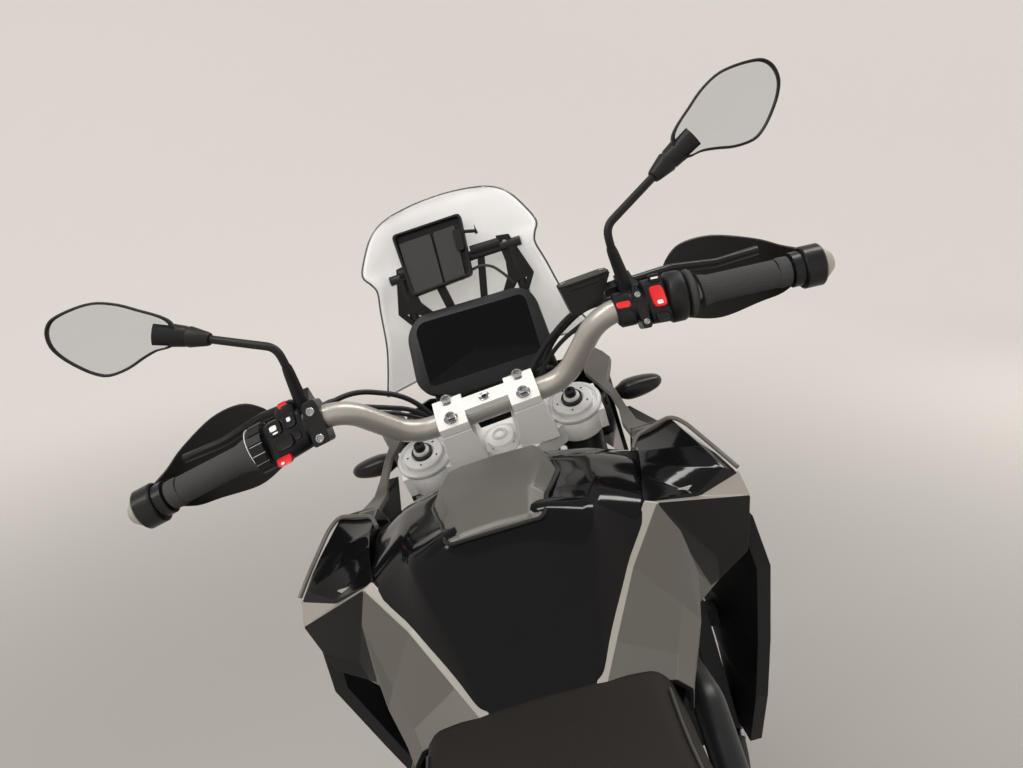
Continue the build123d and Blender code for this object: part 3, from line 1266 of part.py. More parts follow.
with BuildPart() as turn_signals:
    for x, y, z, foot in [(1276, 214, 1021, (1290, 148, 1010)), (-262, 132, 716, (-280, 20, 716))]:
        for side in (1, -1):
            block(
                (x - 24, min(side * (y - 24), side * (y + 22)), z - 15),
                (x + 22, max(side * (y - 24), side * (y + 22)), z + 15),
            )
            barrel((foot[0], side * foot[1], foot[2]), (x, side * (y - 20), z), 7)
    trim("front_cowl", "plate_holder", "radiator_shrouds", "cockpit_trim")
keep("turn_signals", turn_signals)

# ---------------------------------------------------------------- side stand
with BuildPart() as side_stand:
    barrel(
        tuple(STAND_PIVOT - STAND_AXIS * STAND_EYE_HALF),
        tuple(STAND_PIVOT + STAND_AXIS * STAND_EYE_HALF),
        17,
    )
    barrel(tuple(STAND_PIVOT), tuple(foot_ground + FLOOR_UP * 8), 12, 10)
    with BuildSketch(Plane(origin=foot_ground, x_dir=(1, 0, 0), z_dir=FLOOR_UP)) as foot:
        Ellipse(40, 26)
    extrude(foot.sketch, amount=9)
    barrel(
        tuple(STAND_PIVOT - STAND_AXIS * 20), tuple(STAND_PIVOT + STAND_AXIS * 20), STAND_PIN + RUN,
        mode=Mode.SUBTRACT,
    )
keep("side_stand", side_stand)

# ---------------------------------------------------------------- parked on the stand
turned = STEERING_PLANE.location * Rotation(0, 0, STEER_REST)
leaned = Rotation(-LEAN, 0, 0)
placed = {
    name: (leaned * turned * part if steered else leaned * part) for name, (part, steered) in pieces.items()
}
whole = Compound(children=[Compound(part.solids()) for part in placed.values()]).bounding_box()
SHIFT = Location((-(whole.min.X + whole.max.X) / 2, -(whole.min.Y + whole.max.Y) / 2, 0))

os.makedirs("parts", exist_ok=True)
for name, part in placed.items():
    finished = Compound(part.solids()).moved(SHIFT) if len(part.solids()) > 1 else part.solids()[0].moved(
        SHIFT
    )
    finished.label = name
    export_step(finished, f"parts/{name}.step")
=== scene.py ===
"""Adventure motorcycle leaning on its side stand: its visible pieces, finishes and studio."""

import json
import logging
import math
from dataclasses import dataclass
from enum import Enum
from itertools import product
from typing import Callable, Iterable, Sequence

import bmesh
import bpy
from mathutils import Matrix, Vector


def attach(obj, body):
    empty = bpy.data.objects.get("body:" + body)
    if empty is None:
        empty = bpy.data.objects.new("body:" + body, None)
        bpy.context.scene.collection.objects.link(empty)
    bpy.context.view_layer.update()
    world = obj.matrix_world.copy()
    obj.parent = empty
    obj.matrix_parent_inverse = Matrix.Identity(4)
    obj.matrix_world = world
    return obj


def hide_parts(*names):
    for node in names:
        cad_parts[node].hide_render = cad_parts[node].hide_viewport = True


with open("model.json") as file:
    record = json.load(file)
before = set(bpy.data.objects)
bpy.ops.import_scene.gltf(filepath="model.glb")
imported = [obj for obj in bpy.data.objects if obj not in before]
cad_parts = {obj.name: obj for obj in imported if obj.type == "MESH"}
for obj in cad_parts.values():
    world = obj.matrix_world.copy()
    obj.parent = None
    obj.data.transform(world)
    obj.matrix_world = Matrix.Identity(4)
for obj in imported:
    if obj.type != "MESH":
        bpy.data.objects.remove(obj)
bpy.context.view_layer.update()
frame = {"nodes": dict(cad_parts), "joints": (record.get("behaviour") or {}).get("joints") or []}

LOG = logging.getLogger("motorcycle")
MM = 0.001
LEAN = math.radians(11.0)
UPRIGHT = 0.9  # an axis with a larger share than this along Z counts as upright
MERGE_REACH, WELD_REACH = 1e-6, 1e-5  # metres within which points become one
SIDES = (1, -1)  # left and right
SECTION_POWER = 2.8  # how boxy the headlamp's outlines are
COAT_ROUGHNESS = 0.04
MOTTLE_SCALE = 14.0  # clouds of the colour's variation in a metre
WORN_FROM_TO = (0.52, 0.62)  # pointiness at which wear starts and is full
WORN_TINT = (1.8, 0.05)  # share and lift of a worn edge's colour
BRUSH_STRETCH = (0.04, 1.0, 1.0)

Point = tuple[float, float, float]
Colour = tuple[float, float, float]
Flat = tuple[float, float]
Route = tuple[Point, ...]
Outline = tuple[Flat, ...]
Rows = tuple[tuple[float, ...], ...]
Loops = tuple[tuple[int, ...], ...]


# ------------------------------------------------------------------ frames of reference
class Axes:
    """One frame of reference of the machine, in millimetres."""

    def __init__(self, matrix: Matrix, body: str) -> None:
        """Keeps the matrix to the leaning machine's frame, in metres, and the body that rides with it."""
        self.matrix = matrix
        self.body = body

    def place(self, point: Sequence[float]) -> Vector:
        """Returns the point, given in millimetres, in the leaning machine's frame."""
        return self.matrix @ (Vector(point) * MM)

    def turn(self, direction: Sequence[float]) -> Vector:
        """Returns the direction in the leaning machine's frame."""
        return self.matrix.to_3x3() @ Vector(direction)


def joint(name: str) -> dict:
    """Returns the frame's joint of that name."""
    return next(one for one in frame["joints"] if one["name"] == name)


def basis(origin: Vector, side: Vector, up: Vector) -> Matrix:
    """Builds a frame from its origin, its Y axis and its Z axis.

    Args:
        origin: where the frame stands.
        side: its Y axis.
        up: its Z axis, square to side.

    Returns:
        The matrix of the frame.
    """
    ahead = side.cross(up).normalized()
    turn = Matrix((ahead, side.normalized(), up.normalized())).transposed()
    return Matrix.Translation(origin) @ turn.to_4x4()


def machine_axes() -> dict[str, Axes]:
    """Works the machine's frames out from the joints of the fixed model.

    Returns:
        The frames of the upright chassis, the steering and each wheel.
    """
    rear, front = joint("rear_wheel_spin"), joint("front_wheel_spin")
    head = joint("steering")
    rear_axle, rear_side = Vector(rear["pos_m"]), Vector(rear["axis"])
    leaned = Matrix.Rotation(-LEAN, 4, "X")
    ground = rear_axle - leaned @ Vector((0, 0, rear_axle.z / math.cos(LEAN)))
    front_side = Vector(front["axis"])
    upright = leaned.to_3x3() @ Vector((0, 0, 1))
    front_up = (Vector(head["axis"]) - front_side * Vector(head["axis"]).dot(front_side)).normalized()
    return {
        "chassis": Axes(Matrix.Translation(ground) @ leaned, "chassis"),
        "steering": Axes(basis(Vector(head["pos_m"]), front_side, front_up), "steering"),
        "front_wheel": Axes(basis(Vector(front["pos_m"]), front_side, front_up), "front_wheel"),
        "rear_wheel": Axes(basis(rear_axle, rear_side, upright), "rear_wheel"),
    }


AXES = machine_axes()
CHASSIS, STEERING = AXES["chassis"], AXES["steering"]


# ------------------------------------------------------------------ finishes
class Grain(Enum):
    """What the fine relief of a surface looks like."""

    FINE = "fine"
    CAST = "cast"
    LEATHER = "leather"
    BRUSHED = "brushed"
    RIBBED = "ribbed"


@dataclass(frozen=True)
class Relief:
    """The fine relief of a surface: its look, the size of its grain in millimetres and its strength."""

    grain: Grain
    size: float
    strength: float


class Paint:
    """A new material, with short ways to add nodes to it and to feed them."""

    def __init__(self, name: str) -> None:
        """Starts the material with its usual surface shader.

        Args:
            name: the material's name.
        """
        self.material = bpy.data.materials.new(name)
        self.material.use_nodes = True
        self.tree = self.material.node_tree
        self.shader = self.tree.nodes["Principled BSDF"]

    def feed(self, node: bpy.types.Node, inputs: dict) -> None:
        """Gives each named input of a node its constant, or joins it to another node's output.

        Args:
            node: the node.
            inputs: each input's name or number, with a constant or an output.
        """
        for name, value in inputs.items():
            if isinstance(value, bpy.types.NodeSocket):
                self.tree.links.new(value, node.inputs[name])
            else:
                node.inputs[name].default_value = value

    def add(self, kind: str, inputs: dict, **settings: str) -> bpy.types.Node:
        """Adds a node of that kind with its settings, and feeds its inputs.

        Args:
            kind: the node's type, without the words that all types start with.
            inputs: what its inputs get, as feed takes it.
            **settings: its other properties.

        Returns:
            The node.
        """
        node = self.tree.nodes.new(f"ShaderNode{kind}")
        for name, value in settings.items():
            setattr(node, name, value)
        self.feed(node, inputs)
        return node


@dataclass(frozen=True)
class Finish:
    """A surface finish, made into one material when first used."""

    name: str
    colour: Colour
    roughness: float = 0.5
    metallic: float = 0.0
    coat: float = 0.0
    relief: Relief | None = None
    mottle: float = 0.12
    wear: float = 0.0
    transmission: float = 0.0
    alpha: float = 1.0
    ior: float = 1.5

    def material(self) -> bpy.types.Material:
        """Makes the finish's material, or finds it where it is made already.

        Returns:
            The material.
        """
        found = bpy.data.materials.get(self.name)
        if found:
            return found
        paint = Paint(self.name)
        paint.feed(
            paint.shader,
            {
                "Base Color": self._tint(1.0),
                "Metallic": self.metallic,
                "Roughness": self.roughness,
                "IOR": self.ior,
                "Coat Weight": self.coat,
                "Coat Roughness": COAT_ROUGHNESS,
                "Transmission Weight": self.transmission,
                "Alpha": self.alpha,
            },
        )
        self._colour_nodes(paint)
        if self.relief:
            self._grain_nodes(paint, self.relief)
        return paint.material

    def _tint(self, share: float, lift: float = 0.0) -> tuple[float, ...]:
        """Returns the colour made paler or darker, with the full alpha that a node expects."""
        return (*(min(1.0, c * share + lift) for c in self.colour), 1.0)

    def _colour_nodes(self, paint: Paint) -> None:
        """Varies the colour and roughness a little, with paler worn edges where asked.

        Args:
            paint: the material being made.
        """
        spot = paint.add("TexCoord", {})
        inputs = {"Scale": MOTTLE_SCALE, "Detail": 6.0, "Vector": spot.outputs["Object"]}
        cloud = paint.add("TexNoise", inputs).outputs["Fac"]
        inputs = {"A": self._tint(1 - self.mottle), "B": self._tint(1 + self.mottle), "Factor": cloud}
        colour = paint.add("Mix", inputs, data_type="RGBA").outputs["Result"]
        if self.wear:
            geometry = paint.add("NewGeometry", {})
            ramp = paint.add("ValToRGB", {"Fac": geometry.outputs["Pointiness"]})
            for element, position in zip(ramp.color_ramp.elements, WORN_FROM_TO):
                element.position = position
            strength = paint.add("Math", {0: ramp.outputs["Color"], 1: self.wear}, operation="MULTIPLY")
            inputs = {"A": colour, "B": self._tint(*WORN_TINT), "Factor": strength.outputs["Value"]}
            colour = paint.add("Mix", inputs, data_type="RGBA").outputs["Result"]
        low, high = self.roughness * 0.88, min(1.0, self.roughness * 1.12)
        rough = paint.add("MapRange", {"To Min": low, "To Max": high, "Value": cloud})
        paint.feed(paint.shader, {"Base Color": colour, "Roughness": rough.outputs["Result"]})

    def _grain_nodes(self, paint: Paint, relief: Relief) -> None:
        """Adds the surface's fine relief.

        Args:
            paint: the material being made.
            relief: what the relief is like.
        """
        spot = paint.add("TexCoord", {})
        stretch = paint.add("Mapping", {"Vector": spot.outputs["Object"]})
        if relief.grain is Grain.BRUSHED:
            paint.feed(stretch, {"Scale": BRUSH_STRETCH})
        per_metre = 1.0 / (relief.size * MM)
        kind, height, inputs = {
            Grain.LEATHER: ("TexVoronoi", "Distance", {"Scale": per_metre}),
            Grain.RIBBED: ("TexWave", "Fac", {"Scale": per_metre * 0.3}),
        }.get(relief.grain, ("TexNoise", "Fac", {"Scale": per_metre, "Detail": 3.0}))
        pattern = paint.add(kind, {**inputs, "Vector": stretch.outputs["Vector"]})
        depth = relief.size * MM * 0.5
        inputs = {"Strength": relief.strength, "Distance": depth, "Height": pattern.outputs[height]}
        paint.feed(paint.shader, {"Normal": paint.add("Bump", inputs).outputs["Normal"]})


GLOSS_BLACK = Finish("tank_gloss_black", (0.003, 0.003, 0.0034), 0.09, mottle=0.05, ior=1.28)
SATIN_GREY = Finish(
    "panel_satin_grey", (0.085, 0.079, 0.071), 0.40, metallic=0.3, relief=Relief(
        Grain.FINE, 0.5, 0.03
    ), mottle=0.04,
)
# Painted highlight: a lighter copy of the panels' satin grey, put on the side panels' upper edge facets
# where light falls.
PANEL_EDGE_HIGHLIGHT = Finish(
    "panel_edge_painted_highlight", (0.25, 0.235, 0.215), 0.34, metallic=0.3, coat=0.1, relief=Relief(
        Grain.FINE, 0.5, 0.03
    ), mottle=0.04,
)
# Near-black grey: painted shade on the side panels' hollow facets; also the colour of the reservoir cap and
# of the panels' inner faces.
DARK_GREY = Finish(
    "panel_dark_grey", (0.006, 0.0055, 0.005), 0.46, ior=1.3, relief=Relief(
        Grain.FINE, 0.5, 0.03
    ), mottle=0.05,
)
CAST_ALLOY = Finish(
    "cast_alloy", (0.66, 0.65, 0.63), 0.44, metallic=0.3, relief=Relief(Grain.CAST, 0.9, 0.10),
    mottle=0.05, wear=0.2,
)
BAR_ALLOY = Finish(
    "bar_satin_alloy", (0.38, 0.36, 0.33), 0.36, metallic=0.6, relief=Relief(
        Grain.FINE, 0.4, 0.05
    ), mottle=0.04,
)
MACHINED = Finish(
    "machined_alloy", (0.60, 0.595, 0.585), 0.36, metallic=0.6, relief=Relief(
        Grain.BRUSHED, 0.4, 0.05
    ), mottle=0.05,
)
STEEL = Finish("plated_steel", (0.48, 0.48, 0.49), 0.26, metallic=1.0, mottle=0.06)
CHROME = Finish("hard_chrome", (0.7, 0.7, 0.72), 0.07, metallic=1.0, mottle=0.02)
BLACK_PLASTIC = Finish(
    "grained_black_plastic", (0.0065, 0.0065, 0.007), 0.46, ior=1.38, relief=Relief(
        Grain.FINE, 0.8, 0.14
    ), mottle=0.12,
)
SATIN_BLACK = Finish("satin_black", (0.0065, 0.0065, 0.007), 0.32, ior=1.4, mottle=0.1)
GRIP_RUBBER = Finish(
    "grip_rubber", (0.007, 0.0065, 0.0062), 0.66, ior=1.2, relief=Relief(Grain.FINE, 0.7, 0.2),
    mottle=0.12,
)
TYRE_RUBBER = Finish(
    "tyre_rubber", (0.022, 0.022, 0.023), 0.72, relief=Relief(Grain.FINE, 1.2, 0.25), mottle=0.18
)
FRAME_PAINT = Finish(
    "frame_satin_black", (0.009, 0.009, 0.0095), 0.36, ior=1.42, relief=Relief(
        Grain.FINE, 1.0, 0.05
    ), mottle=0.1, wear=0.1,
)
ENGINE_COAT = Finish(
    "engine_dark_casting", (0.06, 0.06, 0.063), 0.46, metallic=0.4, relief=Relief(
        Grain.CAST, 1.3, 0.22
    ), mottle=0.1, wear=0.35,
)
STAINLESS = Finish(
    "brushed_stainless", (0.42, 0.41, 0.39), 0.3, metallic=1.0, relief=Relief(
        Grain.BRUSHED, 0.6, 0.12
    ), mottle=0.1,
)
CHAIN_STEEL = Finish("oiled_chain_steel", (0.2, 0.18, 0.15), 0.36, metallic=1.0, mottle=0.3)
DISC_STEEL = Finish(
    "ground_disc_steel", (0.5, 0.5, 0.51), 0.2, metallic=1.0, relief=Relief(
        Grain.BRUSHED, 0.5, 0.1
    ), mottle=0.08,
)
RIM_BLACK = Finish("rim_satin_black", (0.014, 0.014, 0.015), 0.3, coat=0.2, mottle=0.08)
SEAT_SKIN = Finish(
    "seat_grained_cover", (0.010, 0.0083, 0.0072), 0.6, ior=1.24, relief=Relief(
        Grain.LEATHER, 1.6, 0.35
    ), mottle=0.16,
)
DARK_PLASTIC = Finish(
    "dark_grey_plastic", (0.022, 0.021, 0.021), 0.5, relief=Relief(Grain.FINE, 0.8, 0.1),
    mottle=0.1,
)
SEAT_SEAM = Finish("seat_seam", (0.014, 0.012, 0.011), 0.5, mottle=0.1)
TRIM_BROWN = Finish(
    "trim_grey_brown", (0.075, 0.066, 0.06), 0.42, relief=Relief(Grain.FINE, 0.6, 0.08),
    mottle=0.06,
)
SCREEN_CLEAR = Finish("screen_clear", (0.3, 0.31, 0.31), 0.05, alpha=0.07, mottle=0.0)
SCREEN_EDGE = Finish("screen_edge", (0.05, 0.055, 0.055), 0.15, alpha=0.8, mottle=0.0)
DISPLAY_GLASS = Finish("display_glass", (0.0015, 0.0015, 0.002), 0.08, ior=1.28, mottle=0.0)
MIRROR_FACE = Finish("mirror_face", (0.82, 0.83, 0.84), 0.015, metallic=1.0, mottle=0.0)
LENS_RED = Finish("lens_red", (0.42, 0.012, 0.01), 0.12, coat=0.4, mottle=0.05)
BUTTON_RED = Finish("button_red", (0.55, 0.012, 0.014), 0.32, mottle=0.05)
LENS_CLEAR = Finish("lens_clear", (0.9, 0.92, 0.94), 0.03, transmission=0.85, ior=1.4, mottle=0.0)
LENS_SMOKE = Finish("lens_smoked", (0.03, 0.028, 0.026), 0.1, coat=0.4, mottle=0.0)
RADIATOR_CORE = Finish(
    "radiator_core", (0.03, 0.03, 0.032), 0.5, metallic=0.4, relief=Relief(Grain.RIBBED, 2.0, 0.4)
)
PLATE_BLANK = Finish("plate_blank", (0.72, 0.72, 0.7), 0.4, mottle=0.02)
MARK_SILVER = Finish("mark_silver", (0.6, 0.6, 0.6), 0.4, mottle=0.02)


# ------------------------------------------------------------------ drawing
def corner(ends: Sequence[Vector], here: Vector, bend: float, limit: float, steps: int) -> list[Vector]:
    """Returns the curve that rounds one corner.

    Args:
        ends: the points before and after the corner.
        here: the corner.
        bend: how far from the corner the curve starts.
        limit: the largest share of either run that it takes up.
        steps: how many pieces it has.

    Returns:
        The points of the curve.
    """
    back, on = (end - here for end in ends)
    cut = min(bend, back.length * limit, on.length * limit)
    start, stop = here + back.normalized() * cut, here + on.normalized() * cut
    shares = [step / steps for step in range(steps + 1)]
    return [start.lerp(here, t).lerp(here.lerp(stop, t), t) for t in shares]


def rounded(points: Sequence[Sequence[float]], bend: float, steps: int = 6) -> list[Vector]:
    """Rounds the corners of a route.

    Args:
        points: the route's corners.
        bend: how far from a corner its curve starts.
        steps: how many pieces a curve has.

    Returns:
        The points of the rounded route.
    """
    corners = [Vector(p) for p in points]
    route = [corners[0]]
    for before, here, after in zip(corners, corners[1:], corners[2:]):
        route += corner((before, after), here, bend, 0.49, steps)
    return [*route, corners[-1]]


def superellipse(half_x: float, half_y: float, power: float = 2.5, count: int = 32) -> list[Flat]:
    """Works out a rounded box outline.

    Args:
        half_x: half its width.
        half_y: half its height.
        power: how boxy it is, from 2 for an ellipse.
        count: how many points it has.

    Returns:
        The points, in order.
    """

    def bulge(value: float) -> float:
        """Returns a sine or cosine pushed out towards the box's side."""
        return math.copysign(abs(value) ** (2 / power), value)

    turns = [math.tau * step / count for step in range(count)]
    return [(half_x * bulge(math.cos(turn)), half_y * bulge(math.sin(turn))) for turn in turns]


def on_side(points: Iterable[Sequence[float]], side: int) -> list[Vector]:
    """Returns points of the left side as they are, or mirrored to the right where side is -1."""
    return [Vector((x, side * y, z)) for x, y, z in points]


def square_to(axis: Vector) -> Vector:
    """Returns a direction square to an axis, level unless the axis stands upright."""
    helper = Vector((0, 0, 1)) if abs(axis.z) < UPRIGHT else Vector((1, 0, 0))
    return axis.cross(helper).normalized()


def circle(centre: Vector, across: Vector, lift: Vector, radius: float, sides: int) -> list[Vector]:
    """Works out a circle in space.

    Args:
        centre: the circle's middle.
        across: the direction of its first point.
        lift: the direction that it turns towards.
        radius: its radius.
        sides: how many points it has.

    Returns:
        The points, in order.
    """
    turns = [math.tau * k / sides for k in range(sides)]
    return [
        centre + across * (radius * math.cos(turn)) + lift * (radius * math.sin(turn)) for turn in turns
    ]


def stacked(at: Callable, outline: Sequence[Flat], section: Sequence[Flat]) -> list[list[Vector]]:
    """Returns an outline's rows, each scaled by its share and placed by at with its depth."""
    return [[at(a * share, b * share, depth) for a, b in outline] for share, depth in section]


def soften(piece: bpy.types.Object, bevel: float, sharp: float) -> None:
    """Rounds the edges of a piece that are sharper than an angle.

    Args:
        piece: the piece.
        bevel: width of its rounded edges, in millimetres, or 0 for none.
        sharp: the angle from which an edge is rounded, in degrees.
    """
    if not bevel:
        return
    edges = piece.modifiers.new("edges", "BEVEL")
    edges.width = bevel * MM
    edges.segments = 2
    edges.limit_method = "ANGLE"
    edges.angle_limit = math.radians(sharp)
    edges.harden_normals = True


class Shape:
    """A mesh being drawn in one frame of reference, in millimetres, in one or more finishes."""

    def __init__(self, axes: Axes, finish: Finish) -> None:
        """Starts an empty mesh.

        Args:
            axes: the frame that its points are given in.
            finish: the finish of the first faces.
        """
        self.axes = axes
        self.mesh = bmesh.new()
        self.finishes = [finish]
        self.current = 0

    def use(self, finish: Finish) -> "Shape":
        """Gives the faces drawn from here on that finish.

        Args:
            finish: the finish.

        Returns:
            This shape, so that a piece can be drawn in the same line.
        """
        if finish not in self.finishes:
            self.finishes.append(finish)
        self.current = self.finishes.index(finish)
        return self

    def _vertex(self, point: Sequence[float]) -> bmesh.types.BMVert:
        """Adds one point."""
        return self.mesh.verts.new(self.axes.place(point))

    def _face(self, corners: Sequence[bmesh.types.BMVert]) -> None:
        """Adds one face, if its corners differ."""
        if len(set(corners)) >= 3:
            self.mesh.faces.new(corners).material_index = self.current

    def rings(self, rows: Sequence[Sequence[Sequence[float]]], close: bool = True) -> None:
        """Skins a row of outlines, each with as many points.

        Args:
            rows: the outlines, in order.
            close: whether each outline is a closed loop, whose two ends are then filled.
        """
        made = [[self._vertex(p) for p in row] for row in rows]
        count = len(made[0])
        last = count if close else count - 1
        for low, high in zip(made, made[1:]):
            for i in range(last):
                j = (i + 1) % count
                self._face((low[i], low[j], high[j], high[i]))
        if close:
            self._face(made[0][::-1])
            self._face(made[-1])

    def faces(self, points: Sequence[Point], loops: Sequence[Sequence[int]]) -> None:
        """Adds flat faces between numbered points.

        Args:
            points: the points.
            loops: the numbers of each face's corners.
        """
        made = [self._vertex(p) for p in points]
        for loop in loops:
            self._face([made[i] for i in loop])

    def tube(self, route: Sequence[Sequence[float]], radius: float, sides: int = 16) -> None:
        """Adds a round bar along a route.

        Args:
            route: the points of its middle line.
            radius: its radius.
            sides: how many sides it has.
        """
        middle = [Vector(p) for p in route]
        tangents = []
        for i, here in enumerate(middle):
            before, after = middle[max(i - 1, 0)], middle[min(i + 1, len(middle) - 1)]
            tangents.append((after - before).normalized())
        across = square_to(tangents[0])
        rows = []
        for here, way in zip(middle, tangents):
            across = (across - way * across.dot(way)).normalized()
            rows.append(circle(here, across, way.cross(across), radius, sides))
        self.rings(rows)

    def lathe(
        self, profile: Sequence[Flat], origin: Sequence[float], way: Sequence[float], sides: int = 48
    ) -> None:
        """Turns a profile about an axis.

        Args:
            profile: places along the axis, with the radius at each.
            origin: where the axis starts.
            way: the axis's direction.
            sides: how many sides the turned piece has.
        """
        axis = Vector(way).normalized()
        across = square_to(axis)
        lift = axis.cross(across)
        self.rings([circle(Vector(origin) + axis * along, across, lift, r, sides) for along, r in profile])

    def prism(
        self, outline: Sequence[Flat], origin: Sequence[float], across: Point, up: Point, depth: float
    ) -> None:
        """Adds a block with a flat outline.

        Args:
            outline: the outline's points, measured along across and up.
            origin: where the outline's zero is.
            across: the direction of the first number.
            up: the direction of the second number.
            depth: how thick the block is, along across x up.
        """
        side, lift = Vector(across).normalized(), Vector(up).normalized()
        push = side.cross(lift) * depth
        near = [Vector(origin) + side * a + lift * b for a, b in outline]
        self.rings([near, [point + push for point in near]])

    def box(self, low: Point, high: Point) -> None:
        """Adds a box between two corners."""
        (x0, y0, z0), (x1, y1, z1) = low, high
        self.rings([[(x, y0, z0), (x, y1, z0), (x, y1, z1), (x, y0, z1)] for x in (x0, x1)])

    def bolt(
        self, place: Sequence[float], way: Sequence[float], radius: float, height: float = 5.0
    ) -> None:
        """Adds a socket-head bolt that stands on place and points along way.

        Args:
            place: where its foot is.
            way: the direction of its head.
            radius: the head's radius.
            height: the head's height.
        """
        recess = radius * 0.55
        self.lathe(
            [
                (0, radius), (height * 0.8, radius), (height, radius * 0.88), (height, recess),
                (height * 0.45, recess * 0.96),
            ],
            place,
            way,
            sides=20,
        )

    def build(
        self,
        name: str,
        bevel: float = 0.0,
        sharp: float = 34.0,
        solidify: float = 0.0,
        replaces: Iterable[str] = (),
        slot: str = "",
    ) -> bpy.types.Object:
        """Finishes the mesh as a piece of the machine.

        Args:
            name: the piece's name.
            bevel: width of its rounded edges, in millimetres.
            sharp: the angle from which an edge stays crisp, in degrees.
            solidify: wall thickness given to an open surface, in millimetres.
            replaces: the fixed model's nodes that it stands for.
            slot: the record's material slot; not used.

        Returns:
            The finished piece.
        """
        bmesh.ops.remove_doubles(self.mesh, verts=self.mesh.verts, dist=MERGE_REACH)
        bmesh.ops.recalc_face_normals(self.mesh, faces=self.mesh.faces)
        data = bpy.data.meshes.new(name)
        self.mesh.to_mesh(data)
        self.mesh.free()
        for finish in self.finishes:
            data.materials.append(finish.material())
        data.polygons.foreach_set("use_smooth", [True] * len(data.polygons))
        data.set_sharp_from_angle(angle=math.radians(sharp))
        piece = bpy.data.objects.new(name, data)
        bpy.context.scene.collection.objects.link(piece)
        if solidify:
            wall = piece.modifiers.new("wall", "SOLIDIFY")
            wall.thickness = solidify * MM
            wall.offset = -1.0
            wall.use_even_offset = True
        soften(piece, bevel, sharp)
        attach(piece, self.axes.body)
        if replaces:
            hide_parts(*replaces)
        LOG.info("%s: %d faces", name, len(data.polygons))
        return piece


def dress(node: str, finish: Finish, bevel: float = 1.0, sharp: float = 30.0) -> None:
    """Gives a node of the fixed model its finish and soft edges.

    Args:
        node: the node's name.
        finish: its finish.
        bevel: width of its rounded edges, in millimetres.
        sharp: the angle from which an edge is rounded, in degrees.
    """
    piece = frame["nodes"][node]
    piece.data.materials.clear()
    piece.data.materials.append(finish.material())
    weld = piece.modifiers.new("weld", "WELD")
    weld.merge_threshold = WELD_REACH
    soften(piece, bevel, sharp)
    LOG.info("%s dressed in %s", node, finish.name)


def rounded_loop(points: Sequence[Flat], bend: float, steps: int = 5) -> list[Flat]:
    """Rounds the corners of a closed flat outline.

    Args:
        points: the outline's corners.
        bend: how far from a corner its curve starts.
        steps: how many pieces a curve has.

    Returns:
        The rounded outline.
    """
    corners = [Vector(p) for p in points]
    outline = []
    for before, here, after in zip((corners[-1], *corners), corners, (*corners[1:], corners[0])):
        outline += [tuple(p) for p in corner((before, after), here, bend, 0.48, steps)]
    return outline


def flowing(
    rows: Sequence[Sequence[float]], steps: int = 5, closed: bool = False
) -> list[tuple[float, ...]]:
    """Runs a smooth curve through rows of numbers.

    Args:
        rows: the rows, each with as many numbers.
        steps: how many pieces lie between two rows.
        closed: whether the last row leads back to the first.

    Returns:
        The rows of the curve, with the given ones among them.
    """
    count = len(rows)
    spans = count if closed else count - 1
    curve = []
    for i in range(spans):
        picks = [(i - 1) % count, i, (i + 1) % count, (i + 2) % count]
        if not closed:
            picks = [max(i - 1, 0), i, i + 1, min(i + 2, count - 1)]
        for step in range(steps):
            t = step / steps
            weights = (
                (-t + 2 * t**2 - t**3) / 2,
                (2 - 5 * t**2 + 3 * t**3) / 2,
                (t + 4 * t**2 - 3 * t**3) / 2,
                (t**3 - t**2) / 2,
            )
            curve.append(
                tuple(sum(w * rows[p][k] for w, p in zip(weights, picks)) for k in range(len(rows[0])))
            )
    if not closed:
        curve.append(tuple(rows[-1]))
    return curve


# ------------------------------------------------------------------ handlebar and what it carries
@dataclass(frozen=True)
class Bar:
    """The straight outer run of the handlebar on either side, in the steering frame."""

    bend: Point = (0.0, 165.0, 147.0)
    end: Point = (-16.0, 430.0, 116.0)
    radius: float = 14.3
    facing: Point = (-0.77, 0.0, 0.64)
    lift: Point = (0.64, 0.0, 0.77)

    def at(self, side: int, v: float, out: float = 0.0, up: float = 0.0) -> Vector:
        """Works out a place on the bar or beside it.

        Args:
            side: 1 for the left, -1 for the right.
            v: how far out along the bar.
            out: how far towards the rider.
            up: how far up across the bar.

        Returns:
            The place.
        """
        share = (v - self.bend[1]) / (self.end[1] - self.bend[1])
        middle = Vector(self.bend).lerp(Vector(self.end), share)
        middle += Vector(self.facing) * out + Vector(self.lift) * up
        return on_side([middle], side)[0]

    def round(self, side: int, v: float, radius: float, angle: float) -> Vector:
        """Returns a place v along the bar, at a radius and an angle round it."""
        return self.at(side, v, radius * math.cos(angle), radius * math.sin(angle))

    def way(self, side: int) -> Vector:
        """Returns the direction outward along the bar."""
        return (self.at(side, 300) - self.at(side, 200)).normalized()


BAR = Bar()


